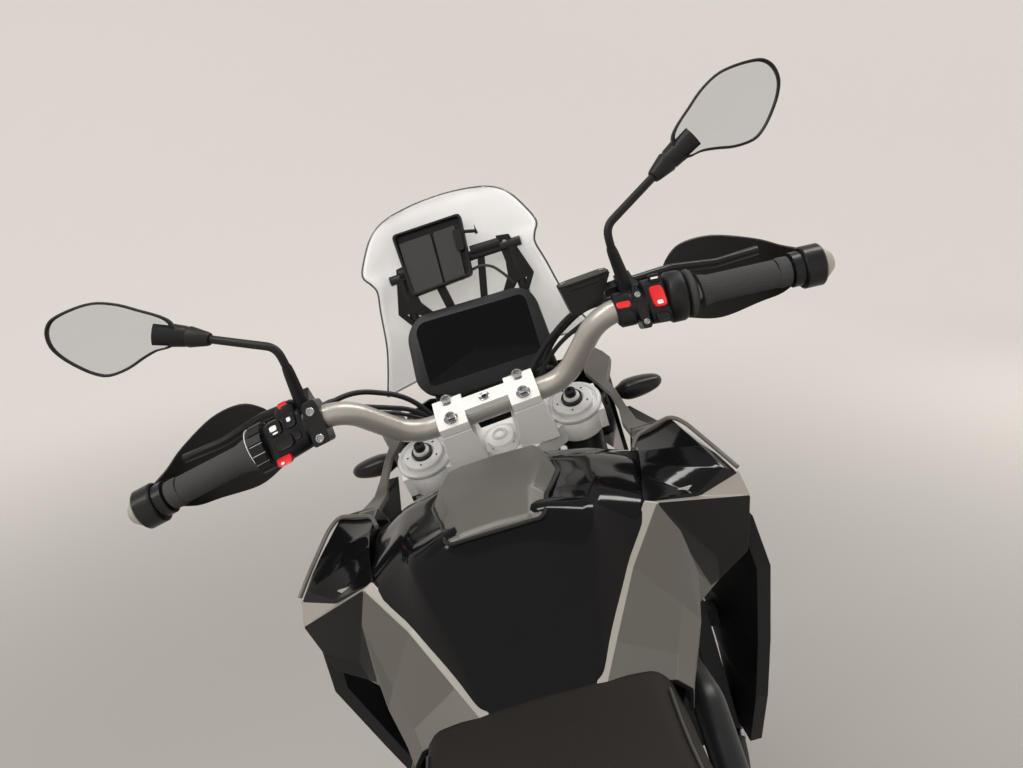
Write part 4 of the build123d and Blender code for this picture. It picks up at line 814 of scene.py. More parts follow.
@dataclass(frozen=True)
class Mirrors:
    """Two mirrors, each a sleeve, a bent stem, a ball collar and a head with its glass."""

    stem: Route = ((10, 208, 140), (17, 199, 219), (27, 201, 241), (60, 270, 259))
    ball: Point = (72, 297, 267)
    middle: Point = (52, 378, 280)
    ahead: Point = (0.855, 0.205, -0.476)
    rim_centre: Flat = (0.0, 30.0)
    rim: Outline = (
        (-66, 32), (-47, 47), (-30, 60), (-10, 70), (8, 73), (30, 72), (45, 68), (54, 57), (56, 41),
        (50, 25), (39, 9), (26, -5), (12, -13), (-10, -13), (-30, -8), (-47, -5), (-64, -6), (-74, 4),
        (-75, 20),
    )
    # columns: share of the rim, depth ahead of the glass
    section: Outline = (
        (0.88, 2.0), (0.925, 1.6), (0.935, -2.0), (0.955, -3.2), (0.985, -2.6), (1.0, 0.0), (1.0, 5.0),
        (0.97, 11.0), (0.9, 17.0), (0.76, 22.0), (0.5, 26.0), (0.2, 27.5),
    )
    glass_share: float = 0.93

    def _at(self, side: int, a: float, b: float, depth: float) -> Vector:
        """Works out a point of a mirror head.

        Args:
            side: 1 for the left, -1 for the right.
            a: how far outward.
            b: how far up.
            depth: how far ahead of the glass.

        Returns:
            The point.
        """
        ahead = Vector(self.ahead).normalized()
        out = (Vector((0, 1, 0)) - ahead * ahead.y).normalized()
        point = Vector(self.middle) + out * a + ahead.cross(out) * b + ahead * depth
        return on_side([point], side)[0]

    def _ring(self, side: int, share: float, depth: float) -> list[Vector]:
        """Scales the head's outline about its middle.

        Args:
            side: 1 for the left, -1 for the right.
            share: the outline's size as a share of the rim.
            depth: how far ahead of the glass.

        Returns:
            The points, in order.
        """
        a0, b0 = self.rim_centre
        outline = flowing(self.rim, 3, closed=True)
        return [self._at(side, a0 + (a - a0) * share, b0 + (b - b0) * share, depth) for a, b in outline]

    def build(self) -> None:
        """Makes both mirrors and their glasses."""
        body = Shape(STEERING, BLACK_PLASTIC)
        glass = Shape(STEERING, MIRROR_FACE)
        for side in SIDES:
            body.rings([self._ring(side, share, depth) for share, depth in self.section])
            *stem, ball = on_side([*self.stem, self.ball], side)
            root = self._at(side, -56, 12, 10)
            way = (root - ball).normalized()
            body.lathe([(1.5, 12.2), (4, 12.6), (12, 13.2), ((root - ball).length + 6, 16)], ball, way, 32)
            body.lathe([(-3, 8.5), (3, 8.5)], ball, way, 24)
            back = (stem[3] - ball).normalized()
            body.lathe([(1.5, 12.4), (3, 12.6), (24, 8.4), (27, 7.2)], ball, back, 32)
            body.tube(rounded([*stem, ball], 13), 4.9, 20)
            up = (stem[1] - stem[0]).normalized()
            body.lathe([(14, 9.5), (20, 9.2), (22, 8.4), (70, 6.6), (78, 5.8), (80, 5.0)], stem[0], up, 28)
            body.lathe([(-6, 13), (10, 13), (14, 11.5), (15, 9)], stem[0], up, 28)
            glass.rings([self._ring(side, self.glass_share, 1.2), self._ring(side, 0.45, 0.3)])
        body.build("mirror_bodies", replaces=["mirrors"], slot="mirror_black")
        glass.build("mirror_glasses", sharp=60)


@dataclass(frozen=True)
class Grips:
    """Ribbed rubber grips, their flanges and the weights at the bar's ends."""

    inner: float = 286.0
    outer: float = 396.0
    radius: float = 16.6
    ribs: int = 36
    rib_height: float = 0.4
    flange: Outline = ((0, 15), (0.5, 27), (2, 29), (5, 29), (7, 27.5), (9, 21), (12, 18.5))
    drum: Flat = (409.0, 434.0)
    drum_radius: float = 25.5
    pads: int = 15
    # columns: where a pad and the seam beside it start and end round the bar, reach, finish
    pad_faces: tuple[tuple[float, float, float, Finish], ...] = (
        (-0.19, 0.19, 30.0, BLACK_PLASTIC), (0.2, 0.222, 28.4, MARK_SILVER),
    )

    def _ribbed(self, shape: Shape, side: int, stations: Sequence[Flat]) -> None:
        """Adds a sleeve with fine ribs along it.

        Args:
            shape: what it is drawn in.
            side: 1 for the left, -1 for the right.
            stations: the places along the bar, with the radius at each.
        """
        count = self.ribs * 4
        turns = [(math.tau * k / count, self.rib_height if k % 4 < 2 else 0.0) for k in range(count)]
        rows = [[BAR.round(side, v, radius + rib, turn) for turn, rib in turns] for v, radius in stations]
        shape.rings(rows)

    def build(self) -> None:
        """Makes the grips, the control ring, the throttle drum and the weights."""
        rubber = Shape(STEERING, GRIP_RUBBER)
        r, root, tip = self.radius, self.inner + 14, self.outer - 16
        for side in SIDES:
            way = BAR.way(side)
            start = self.inner - 8 if side > 0 else self.inner
            self._ribbed(rubber, side, [(start, r + 6), (self.inner + 2, r + 3), (root, r)])
            self._ribbed(rubber, side, [(root, r), (tip, r)])
            rubber.lathe(
                [(0, r + 0.7), (3, r + 1.6), (14, r + 1.4), (16, r - 1)], BAR.at(side, tip), way, 48
            )
            if side < 0:
                rubber.lathe(self.flange, BAR.at(side, 270), way, 64)
        rubber.build("grip_rubbers", replaces=["grips"], slot="grip_rubber")
        ends = Shape(STEERING, SATIN_BLACK)
        (low, high), r = self.drum, self.drum_radius
        run = high - low
        for side in SIDES:
            way, start = BAR.way(side), BAR.at(side, self.outer)
            ends.use(GLOSS_BLACK).lathe([(0.3, 12), (0.3, 16.4), (13.5, 16.4)], start, way, 48)
            ends.use(MACHINED).lathe([(3, 16.4), (3, 16.8), (4, 16.8), (4, 16.4)], start, way, 48)
            drum = [(0, 15), (0.4, r - 1.6), (2, r), (run - 2, r), (run, r - 1.8)]
            ends.use(SATIN_BLACK).lathe(drum, BAR.at(side, low), way, 64)
            cap = [(0, r - 4.4), (2, r - 5), (13, 11.5), (14.5, 9), (14, 6), (10, 5.6)]
            ends.use(BAR_ALLOY).lathe(cap, BAR.at(side, high), way, 64)
        ends.build("weights", replaces=["bar_weights"], slot="mirror_black")
        self._control_ring()

    def _control_ring(self) -> None:
        """Makes the padded ring on the left that the thumb turns, with its bright seams."""
        ring = Shape(STEERING, BLACK_PLASTIC)
        way, start = BAR.way(1), BAR.at(1, 258)
        ring.lathe([(0, 22), (1, 27.5), (18, 27.5), (20, 22)], start, way, 64)
        for k in range(self.pads):
            middle = math.tau * k / self.pads
            for low, high, reach, finish in self.pad_faces:
                corners = ((26, low), (reach, low * 0.9), (reach, high * 0.9), (26, high))
                rows = [
                    [BAR.round(1, v, radius, middle + turn) for radius, turn in corners]
                    for v in (259.5, 275.5)
                ]
                ring.use(finish).rings(rows)
        ring.use(MARK_SILVER).lathe([(18.6, 28.4), (19.4, 28.4), (19.6, 27)], start, way, 64)
        ring.build("control_ring", bevel=0.5)


@dataclass(frozen=True)
class Switches:
    """The housings inboard of the grips, with their bare keys, and the clamps beside them."""

    inner: float = 206.0
    outer: float = 256.0
    # each finish's keys; columns: side, place along the bar, height, half size, foot, rise
    keys: tuple[tuple[Finish, tuple[tuple[int, float, float, Flat, float, float], ...]], ...] = (
        (
            SATIN_BLACK,
            (
                (1, 241, 13, (9.5, 9), 22, 4), (1, 221, 14, (8, 9), 21, 5), (1, 235, -8, (12, 7), 22, 5),
                (1, 218, -6, (5, 5), 21, 4), (-1, 237, 26, (7, 5), 16, 4), (-1, 232, -20, (8, 5), 19, 4),
            ),
        ),
        (
            MARK_SILVER,
            (
                (1, 242, 13.5, (4.5, 3.2), 25.2, 0.8), (1, 241, 7.5, (3.5, 1.1), 25.2, 0.6),
                (1, 221, 15, (2.6, 2.6), 25.0, 0.8), (-1, 237, 26, (4.5, 1.2), 19.4, 0.6),
            ),
        ),
        (
            BUTTON_RED,
            (
                (1, 243, -26, (10, 5.5), 17, 6), (1, 225, 34, (6, 3.5), 12, 4),
                (-1, 234, 4, (8.5, 13), 20, 4), (-1, 193, 3, (8.5, 4), 19, 1.2),
            ),
        ),
        (MARK_SILVER, ((1, 246, -28, (2.2, 1.5), 22.4, 0.6), (-1, 234, -3, (3.6, 2.4), 23.4, 0.8))),
    )

    def _housing(self, shape: Shape, side: int, rows: Sequence[Sequence[float]]) -> None:
        """Adds a rounded housing through rows of place along the bar, half sizes and rise.

        Args:
            shape: what it is drawn in.
            side: 1 for the left, -1 for the right.
            rows: the rows.
        """
        shape.rings(
            [
                [BAR.at(side, v, a + 1, b + rise) for a, b in superellipse(out, up, 3.4, 40)]
                for v, out, up, rise in rows
            ]
        )

    def _key(
        self, shape: Shape, side: int, v: float, up: float, size: Flat, out: float, rise: float
    ) -> None:
        """Adds one key on the rider's face of a housing.

        Args:
            shape: what it is drawn in.
            side: 1 for the left, -1 for the right.
            v: its place along the bar.
            up: its height across the bar.
            size: its half width along the bar and half height across it.
            out: how far from the bar's middle its foot is.
            rise: how far it stands proud.
        """
        rows = []
        for share, lift in ((1.0, 0.0), (1.0, rise * 0.6), (0.9, rise), (0.6, rise * 0.8)):
            outline = superellipse(size[0] * share, size[1] * share, 4.0, 24)
            rows.append([BAR.at(side, v + a, out + lift, up + b) for a, b in outline])
        shape.rings(rows)

    def build(self) -> None:
        """Makes both housings, their keys and the two clamps with their bolts."""
        shape = Shape(STEERING, BLACK_PLASTIC)
        left = [(self.inner, 17, 20, -2), (210, 21, 25, -2), (250, 23, 27, -3), (self.outer, 20, 24, -2)]
        self._housing(shape, 1, left)
        self._housing(shape, 1, [(214, 13, 9, 24), (218, 16, 12, 25), (234, 15, 11, 25), (239, 11, 7, 24)])
        self._housing(shape, -1, [(218, 16, 22, 0), (221, 20, 27, 0), (243, 21, 28, 0), (246, 18, 24, 0)])
        drum = [(0, 22), (1, 28), (4, 30.5), (18, 30.5), (21, 29), (22.5, 25), (25, 24)]
        shape.lathe(drum, BAR.at(-1, 245), BAR.way(-1), 64)
        self._housing(
            shape, -1, [(183, 15, 17, -2), (186, 19, 21, -2), (202, 19, 21, -2), (205, 15, 17, -2)]
        )
        shape.build("switch_housings", bevel=1.0, sharp=50, replaces=["switchgear"], slot="control_plastic")
        keys = Shape(STEERING, SATIN_BLACK)
        for finish, rows in self.keys:
            keys.use(finish)
            for row in rows:
                self._key(keys, *row)
        keys.build("switch_keys", bevel=0.3, sharp=50)
        self._clamps()

    def _clamps(self) -> None:
        """Makes the cap of each lever clamp with its two bolts."""
        clamp = Shape(STEERING, SATIN_BLACK)
        for side, low, high in ((1, 184, 205), (-1, 206, 217)):
            corners = [(low, -30), (high, -30), (high, 12), (high - 3, 24), (low + 3, 24), (low, 12)]
            outline = rounded_loop(corners, 4)
            clamp.rings([[BAR.at(side, v, out, up) for v, up in outline] for out in (-14, 18, 21)])
        clamp.build("lever_clamps", bevel=1.2)
        bolts = Shape(STEERING, STEEL)
        for side, v, radius in ((1, 194.5, 5.4), (-1, 211.5, 3.8)):
            way = (BAR.at(side, 200, 1) - BAR.at(side, 200)).normalized()
            for up in (11, -22):
                bolts.bolt(BAR.at(side, v, 20.6, up), way, radius, 3.4)
        bolts.build("lever_clamp_bolts", bevel=0.3)


@dataclass(frozen=True)
class Handguards:
    """A curved guard in front of each grip, carried at the bar's end and at the lever clamp."""

    # columns: u, v, middle w, half height
    rows: Rows = (
        (80, 266, 80, 26), (86, 276, 78, 46), (92, 300, 74, 63), (98, 345, 58, 70), (94, 400, 48, 54),
        (82, 430, 46, 40), (64, 448, 60, 24), (50, 455, 72, 14),
    )
    belly: float = 9.0
    wall: float = 3.0
    outer_stay: Route = ((44, 436, 80), (60, 446, 66))
    inner_stay: Route = ((88, 284, 84), (72, 236, 106), (38, 208, 134))

    def build(self) -> None:
        """Makes both guards and their stays."""
        guard = Shape(STEERING, BLACK_PLASTIC)
        shares = [2 * k / 12 - 1 for k in range(13)]  # from the foot, -1, to the top, 1
        for side in SIDES:
            rows = [
                [(u + self.belly * (1 - t * t) - 2, side * v, w + half * t) for t in shares]
                for u, v, w, half in flowing(self.rows, 5)
            ]
            guard.rings(rows, close=False)
        guard.build(
            "guard_shells", bevel=0.6, solidify=self.wall, replaces=["handguards"], slot="control_plastic"
        )
        stays = Shape(STEERING, SATIN_BLACK)
        for side in SIDES:
            foot = BAR.at(side, 403)
            outer = [foot + Vector((18, 0, -8)), *on_side(self.outer_stay, side)]
            stays.tube(rounded(outer, 16), 5, 16)
            stays.lathe([(-6, 17.2), (-6, 21), (6, 21), (6, 17.2)], foot, BAR.way(side), 40)
            stays.tube(rounded(on_side(self.inner_stay, side), 16), 5, 16)
            stays.use(STEEL).bolt((86, side * 288, 96), (-1, 0, 0), 5, 4)
            stays.use(SATIN_BLACK)
        stays.build("guard_stays", bevel=0.4)


@dataclass(frozen=True)
class ForkTops:
    """What shows on top of the forks, the stem and the bar clamp."""

    lead: float = 20.0
    half_span: float = 105.0
    # columns of each turned piece: height, radius
    cap: Outline = (
        (0.2, 37.2), (3.2, 37.6), (5.0, 36.6), (5.2, 32.5), (3.6, 31.4), (3.4, 27.8), (9.6, 27.4),
        (10.8, 26.2), (11.0, 15.5), (9.8, 15.0), (9.8, 11.2), (17.5, 10.6), (19, 9.2), (19, 5),
    )
    adjuster: Outline = ((18.6, 6.0), (19.2, 7.6), (26, 7.4), (27.2, 6.4), (27.2, 3.0), (25, 2.8))
    stem_nut: Outline = (
        (0.3, 27), (3.4, 27), (4.6, 25.8), (4.8, 13), (3.4, 12.4), (3.4, 10.6), (13.2, 10.2), (14, 9),
        (14, 6.4), (8, 6),
    )
    clamp_bolts: Outline = ((20.0, 81.6), (-12.0, 80.4))
    clamp_half_span: float = 47.5

    def build(self) -> None:
        """Makes the rings, caps, adjusters, stem nut and clamp bolts."""
        top = Shape(STEERING, MACHINED)
        up = (0, 0, 1)
        for side in SIDES:
            foot = (self.lead, side * self.half_span, 0)
            top.lathe(self.cap, foot, up, 64)
            top.use(SATIN_BLACK).lathe(self.adjuster, foot, up, 14)
            for k in range(5):
                angle = math.tau * (k + 0.3) / 5
                spot = (foot[0] + 21 * math.cos(angle), foot[1] + 21 * math.sin(angle), 11.0)
                top.use(FRAME_PAINT).lathe([(0, 1.5), (0.3, 1.5)], spot, up, 12)
            top.use(MACHINED)
        top.lathe(self.stem_nut, (2, 0, 0), up, 64)
        top.use(FRAME_PAINT)
        top.lathe([(8.2, 6.0), (8.4, 0.4)], (2, 0, 0), up, 24)
        for k in range(4):
            angle = math.tau * (k + 0.5) / 4
            top.lathe([(4.8, 1.7), (5.1, 1.7)], (2 + 19 * math.cos(angle), 19 * math.sin(angle), 0), up, 12)
        top.build("fork_caps", bevel=0.4, sharp=40)
        bolts = Shape(STEERING, STEEL)
        for side in SIDES:
            for u, w in self.clamp_bolts:
                place = (u, side * self.clamp_half_span, w)
                bolts.lathe([(0, 9.4), (0.9, 9.4), (1.0, 7.4)], place, up, 28)
                bolts.bolt((place[0], place[1], w + 0.8), up, 6.6, 5.6)
        bolts.lathe([(0, 7.2), (1.6, 7.2), (2.0, 6.4), (1.5, 5.6)], (3.5, 0, 81.8), up, 32)
        bolts.use(SATIN_BLACK).lathe([(1.4, 5.8), (1.6, 0.6)], (3.5, 0, 81.8), up, 32)
        bolts.build("clamp_bolts", bevel=0.2)


@dataclass(frozen=True)
class Cables:
    """The cables and brake lines from the handlebar down to the head."""

    # columns: sides, radius, points on the left in the steering frame
    runs: tuple[tuple[tuple[int, ...], float, Route], ...] = (
        (
            SIDES,
            3.6,
            (
                (58, 204, 110), (84, 160, 98), (90, 104, 56), (72, 74, 12), (66, 70, -44), (46, 66, -92),
                (46, 66, -186),
            ),
        ),
        (
            (1,),
            3.4,
            (
                (40, 214, 112), (62, 170, 94), (74, 96, 40), (64, 60, -20), (58, 58, -60), (36, 56, -100),
                (36, 56, -186),
            ),
        ),
        (
            (1,),
            2.6,
            (
                (26, 216, 118), (44, 176, 104), (60, 110, 52), (58, 64, 4), (52, 60, -40), (30, 60, -100),
                (30, 60, -186),
            ),
        ),
        (
            (-1,),
            3.0,
            (
                (30, 214, 118), (48, 172, 112), (70, 112, 66), (66, 62, 14), (52, 58, -40), (34, 56, -100),
                (34, 56, -186),
            ),
        ),
        (
            (-1,),
            4.2,
            (
                (50, 178, 128), (72, 140, 104), (80, 92, 60), (66, 50, 20), (56, 50, -30), (26, 62, -100),
                (26, 62, -186),
            ),
        ),
    )

    def build(self) -> None:
        """Makes the cables and their boots."""
        lines = Shape(STEERING, SATIN_BLACK)
        for sides, radius, route in self.runs:
            for side in sides:
                path = rounded(on_side(route, side), 26, 7)
                lines.tube(path, radius, 12)
                boot = [(-6, radius + 1.8), (16, radius + 1.6), (22, radius + 0.4)]
                lines.lathe(boot, path[0], (path[1] - path[0]).normalized(), 16)
        lines.build("cable_runs", sharp=60, replaces=["control_cables"], slot="grip_rubber")


@dataclass(frozen=True)
class Reservoir:
    """The front brake's flat fluid reservoir, level when the machine stands upright."""

    lid: Point = (60.0, -164.0, 158.6)
    rake: float = math.radians(28.0)
    # columns: height from the lid, half length, half width, how far it lies to the left
    body: Rows = (
        (-34, 15, 16, 9), (-31, 17, 18, 9), (-8, 19, 29, 2), (-6, 20.5, 31.5, 0), (-1, 20.5, 31.5, 0),
    )
    cap: Rows = ((-0.6, 21.4, 32.6, 0), (1.6, 21.4, 32.6, 0), (2.6, 20.2, 31.4, 0))

    def build(self) -> None:
        """Makes its body, lid and screws."""
        fore = Vector((math.cos(self.rake), 0, -math.sin(self.rake)))
        up = Vector((math.sin(self.rake), 0, math.cos(self.rake)))
        side = Vector((0, 1, 0))
        shape = Shape(STEERING, SATIN_BLACK)
        for finish, sections in ((SATIN_BLACK, self.body), (DARK_GREY, self.cap)):
            rows = []
            for drop, half_x, half_y, shift in sections:
                middle = Vector(self.lid) + up * drop + side * shift
                rows.append(
                    [middle + fore * a + side * b for a, b in superellipse(half_x, half_y, 4.5, 40)]
                )
            shape.use(finish).rings(rows)
        shape.use(STEEL)
        for b in (-25, 25):
            shape.bolt(Vector(self.lid) + up * 2.4 + side * b, up, 3.4, 1.4)
        shape.build("brake_reservoir", bevel=0.6)


STEERED_PIECES = (Mirrors(), Grips(), Switches(), Handguards(), ForkTops(), Cables(), Reservoir())


# ------------------------------------------------------------------ screen, display and what is round them
@dataclass(frozen=True)
class Windscreen:
    """A thin clear screen, waisted at the sides, with a dark edge."""

    # columns: z, x and y of the edge, x and y between, x of the middle
    rows: Rows = (
        (1089, 1400, 173, 1466, 104, 1500), (1132, 1372, 153, 1440, 93, 1470),
        (1174, 1350, 137, 1420, 84, 1444), (1225, 1336, 126, 1404, 79, 1427),
        (1254, 1328, 119, 1392, 75, 1414), (1268, 1321, 122, 1388, 76, 1409),
        (1284, 1315, 129, 1382, 78, 1404), (1308, 1328, 119, 1379, 70, 1397),
        (1330, 1343, 105, 1376, 62, 1390), (1343, 1356, 89, 1378, 52, 1387),
        (1350, 1366, 72, 1379, 42, 1384),
    )
    wall: float = 3.0
    rise: float = 8.0
    rise_from: float = 1300.0

    def _surface(self) -> list[list[Point]]:
        """Works out the rows of points of the screen's outer face.

        Returns:
            The rows, from the foot up.
        """
        surface = []
        for z, edge_x, edge_y, mid_x, mid_y, top_x in flowing(self.rows, 4):
            across = [(edge_x, edge_y), (mid_x, mid_y), (top_x, 0.0), (mid_x, -mid_y), (edge_x, -edge_y)]
            lift = self.rise * max(0.0, (z - self.rise_from) / (self.rows[-1][0] - self.rise_from))
            surface.append([(x, y, z + lift * (1 - (y / edge_y) ** 2)) for x, y in flowing(across, 7)])
        return surface

    def build(self) -> None:
        """Makes the screen and its edge."""
        surface = self._surface()
        screen = Shape(CHASSIS, SCREEN_CLEAR)
        screen.rings(surface, close=False)
        screen.build("screen", solidify=self.wall, replaces=["windscreen"], slot="screen_clear")
        rim = Shape(CHASSIS, SCREEN_EDGE)
        edge = [row[0] for row in surface] + surface[-1][1:-1] + [row[-1] for row in surface[::-1]]
        rim.tube(edge, 1.5, 8)
        rim.tube(surface[0], 1.5, 8)
        rim.build("screen_edge")


@dataclass(frozen=True)
class Display:
    """The colour display: a cut-cornered body with an inset glass."""

    middle: Point = (1313.0, 0.0, 1148.0)
    lift: Point = (0.447, 0.0, 0.894)
    # the front's outline: to the left and up
    outline: Outline = (
        (50, -70), (92, -57), (105, -38), (101, 34), (90, 52), (72, 63), (-72, 60), (-90, 50), (-97, 32),
        (-101, -38), (-88, -57), (-50, -70),
    )
    # columns: share of the outline, how far behind the front
    section: Outline = ((0.80, 26), (0.93, 24), (0.99, 18), (1.0, 12), (1.0, 3), (0.99, 0.8), (0.97, 0))
    glass: Outline = ((86, -47), (86, 41), (76, 51), (-76, 47), (-82, 38), (-82, -44))
    glass_section: Outline = ((1, 1.5), (1, -0.3), (0.99, -0.5))

    def _at(self, a: float, b: float, depth: float) -> Vector:
        """Returns a place to the left and up on the display's face, and behind it."""
        lift = Vector(self.lift).normalized()
        return Vector(self.middle) + Vector((0, 1, 0)) * a + lift * b + Vector((lift.z, 0, -lift.x)) * depth

    def build(self) -> None:
        """Makes the body and the glass."""
        body = Shape(CHASSIS, BLACK_PLASTIC)
        body.rings(stacked(self._at, rounded_loop(self.outline, 13), self.section))
        body.build("display_body", replaces=["display"], slot="control_plastic")
        glass = Shape(CHASSIS, DISPLAY_GLASS)
        glass.rings(stacked(self._at, rounded_loop(self.glass, 9), self.glass_section))
        glass.build("display_glass_face")


@dataclass(frozen=True)
class Cradle:
    """The empty device tray over the display, with its arms, side brackets and lead."""

    face: Point = (-0.97, 0.0, 0.24)
    middle: Point = (1344.0, 24.0, 1281.0)
    tray: Outline = ((52.5, 44), (-52.5, 45), (-44, -45), (49, -50))
    # columns: share of the outline, how far it stands proud
    tray_section: Outline = ((1.0, -12), (1.0, 5), (0.985, 6), (0.93, 6), (0.92, 5), (0.91, -4))
    catch: Outline = ((-34, 24), (-47, 22), (-44, -8), (-33, -8))
    # each panel of the tray's floor
    panels: tuple[Outline, ...] = (
        ((46, 29), (-2.5, 30), (0.5, -46), (47, -46)), ((-6, 30), (-40, 31), (-33, -47), (-2, -47)),
    )
    # the outline of one side bracket: outward from the middle and up, at its own x
    bracket: Outline = (
        (67, 1279), (86, 1276), (105, 1212), (88, 1186), (82, 1188), (93, 1209), (78, 1206), (62, 1190),
        (54, 1200), (67, 1219), (70, 1240),
    )
    bracket_x: float = 1352.0
    lead: Route = (
        (1346, -20, 1243), (1343, -34, 1246), (1342, -50, 1240), (1342, -64, 1222), (1350, -72, 1206),
    )
    # columns of each arm: y of its foot and top, z of its foot and top, half width
    arms: Rows = ((26, 34, 1190, 1246, 6.5), (-22, -38, 1190, 1257, 5.5))

    def _at(self, a: float, b: float, proud: float) -> Vector:
        """Returns a place to the left and up on the tray's floor, and towards the rider."""
        out = Vector(self.face).normalized()
        return Vector(self.middle) + Vector((0, 1, 0)) * a + Vector((out.z, 0, -out.x)) * b + out * proud

    def build(self) -> None:
        """Makes the tray, its panels, arms, brackets and lead."""
        shape = Shape(CHASSIS, BLACK_PLASTIC)
        shape.rings(stacked(self._at, rounded_loop(self.tray, 7), self.tray_section))
        shape.rings(stacked(self._at, rounded_loop(self.catch, 4), ((1, 4), (1, 9))))
        shape.tube([self._at(-50, 18, 0), self._at(-66, 14, 0)], 2.6, 10)
        shape.prism([(0, 0), (5, 0), (2, 14)], self._at(-69, 9, 3), (0, 1, 0), (0, 0, 1), 3)
        shape.tube([(1352, -26, 1268), (1352, -70, 1267)], 8.5, 20)
        shape.tube([(1352, 72, 1267), (1352, 84, 1267)], 8.5, 20)
        for low_y, high_y, low, high, half in self.arms:
            rows = [
                [(x, y + way * half, z) for x, way in ((1349, -1), (1349, 1), (1358, 1), (1358, -1))]
                for y, z in ((low_y, low), (high_y, high))
            ]
            shape.rings(rows)
        for side in SIDES:
            plate = [(side * y, z) for y, z in self.bracket]
            shape.rings([[(x, y, z) for y, z in plate] for x in (self.bracket_x - 3, self.bracket_x + 3)])
        shape.build("cradle_tray", bevel=0.8, sharp=40, replaces=["device_cradle"], slot="control_plastic")
        floor = Shape(CHASSIS, DARK_PLASTIC)
        for panel in self.panels:
            floor.rings(stacked(self._at, rounded_loop(panel, 4), ((1, -6), (1, 2.2))))
        floor.build("cradle_floor", bevel=0.8)
        lead = Shape(CHASSIS, GRIP_RUBBER)
        lead.tube(rounded(self.lead, 10), 2.1, 10)
        lead.use(STEEL)
        for side in SIDES:
            spot = (self.bracket_x - 3, side * 77, 1267)
            lead.lathe([(0, 3.2), (1.2, 3.2), (1.4, 1.4)], spot, (-1, 0, 0), 20)
        lead.build("cradle_lead")


@dataclass(frozen=True)
class Strips:
    """The grey-brown strips that run from the screen's foot back to the tank's wings."""

    # columns: x, inner y, outer y, top
    rows: Rows = (
        (1304, 141, 156, 1088), (1286, 137, 165, 1083), (1270, 131, 171, 1077), (1250, 130, 166, 1071),
        (1220, 142, 156, 1060), (1190, 152, 162, 1051), (1150, 156, 166, 1040), (1110, 153, 171, 1032),
        (1060, 156, 184, 1034),
    )
    depth: float = 7.0

    def build(self) -> None:
        """Makes both strips, each with the post that carries it."""
        shape = Shape(CHASSIS, TRIM_BROWN)
        for side in SIDES:
            rows = []
            for x, inner, outer, top in self.rows:
                foot = top - self.depth
                bead = [(x, inner, foot), (x, inner, top), (x, outer, top), (x, outer + 1, foot)]
                rows.append(on_side(bead, side))
            shape.rings(rows)
            shape.box((1253, side * 149, 1015), (1265, side * 163, 1070))
        shape.build("cockpit_strips", bevel=1.2, sharp=20, replaces=["cockpit_trim"], slot="trim_brown")


@dataclass(frozen=True)
class TurnSignals:
    """Four slim turn signals on short stalks."""

    # columns: how far along, half thickness in x, half height
    section: Rows = (
        (0, 8, 8), (5, 12, 10), (13, 18, 13.5), (25, 20, 14.5), (42, 19, 13), (56, 15, 10), (63, 9, 6.5),
        (66, 3, 2.4),
    )
    lens_from: float = 12.0
    lens_to: float = 64.0
    # columns: x, y and z where the body starts, x, y and z of the stalk's foot
    places: Rows = ((1276, 166, 1021, 1290, 150, 1010), (-262, 92, 716, -280, 20, 716))

    def build(self) -> None:
        """Makes the bodies, the lenses and the stalks."""
        body = Shape(CHASSIS, SATIN_BLACK)
        lens = Shape(CHASSIS, LENS_SMOKE)
        arc = [(0.45 + 0.35 * math.cos(k), 0.82 * math.sin(k)) for k in (-1.4, -0.7, 0.0, 0.7, 1.4)]
        for x, y, z, foot_x, foot_y, foot_z in self.places:
            face = 1 if x > 0 else -1
            for side in SIDES:
                body.tube([(foot_x, side * foot_y, foot_z), (x, side * (y + 2), z)], 7, 16)
                rows, front = [], []
                for along, half_x, half_z in flowing(self.section, 3):
                    y_here = side * (y + along)
                    ring = superellipse(half_x, half_z, 2.4, 28)
                    rows.append([(x + a, y_here, z + b + along * 0.02) for a, b in ring])
                    if self.lens_from < along < self.lens_to:
                        reach = face * half_x * 1.28
                        front.append([(x + reach * a + face, y_here, z + b * half_z) for a, b in arc])
                body.rings(rows)
                lens.rings(front)
        body.build("turn_signal_bodies", replaces=["turn_signals"], slot="mirror_black")
        lens.build("turn_signal_lenses")


@dataclass(frozen=True)
class Headlamp:
    """The headlamp: a dark bowl with two round lenses behind a clear cover."""

    # columns: x, half width, middle z, half height
    bowl: Rows = (
        (1422, 108, 1000, 52), (1440, 110, 999, 51), (1470, 104, 998, 45), (1486, 90, 997, 38),
        (1485, 86, 997, 35), (1462, 80, 997, 30),
    )
    cover: Rows = ((1486, 91, 997, 39), (1494, 86, 997, 37), (1500, 76, 997, 34), (1503, 50, 997, 24))

    def _outlines(self, rows: Rows) -> list[list[Point]]:
        """Returns the rounded outline of each row."""
        return [[(x, a, z + b) for a, b in superellipse(w, h, SECTION_POWER, 48)] for x, w, z, h in rows]

    def build(self) -> None:
        """Makes the bowl, the lamps in it and the cover."""
        shape = Shape(CHASSIS, SATIN_BLACK)
        shape.rings(self._outlines(self.bowl))
        shape.box((1396, -30, 960), (1424, 30, 1000))
        for y in (38, -38):
            spot = (1462, y, 998)
            shape.use(CHROME).lathe([(0, 30), (16, 28), (16, 25), (8, 24)], spot, (1, 0, 0), 40)
            shape.use(MIRROR_FACE).lathe([(6, 24), (13, 20), (17, 12), (18, 1)], spot, (1, 0, 0), 40)
        shape.use(MARK_SILVER).box((1466, -4, 972), (1480, 4, 1024))
        shape.build("headlamp_bowl", replaces=["headlamp"], slot="lamp_clear")
        cover = Shape(CHASSIS, LENS_CLEAR)
        cover.rings(self._outlines(self.cover))
        cover.build("headlamp_cover")


COCKPIT_PIECES = (Windscreen(), Display(), Cradle(), Strips(), TurnSignals(), Headlamp())


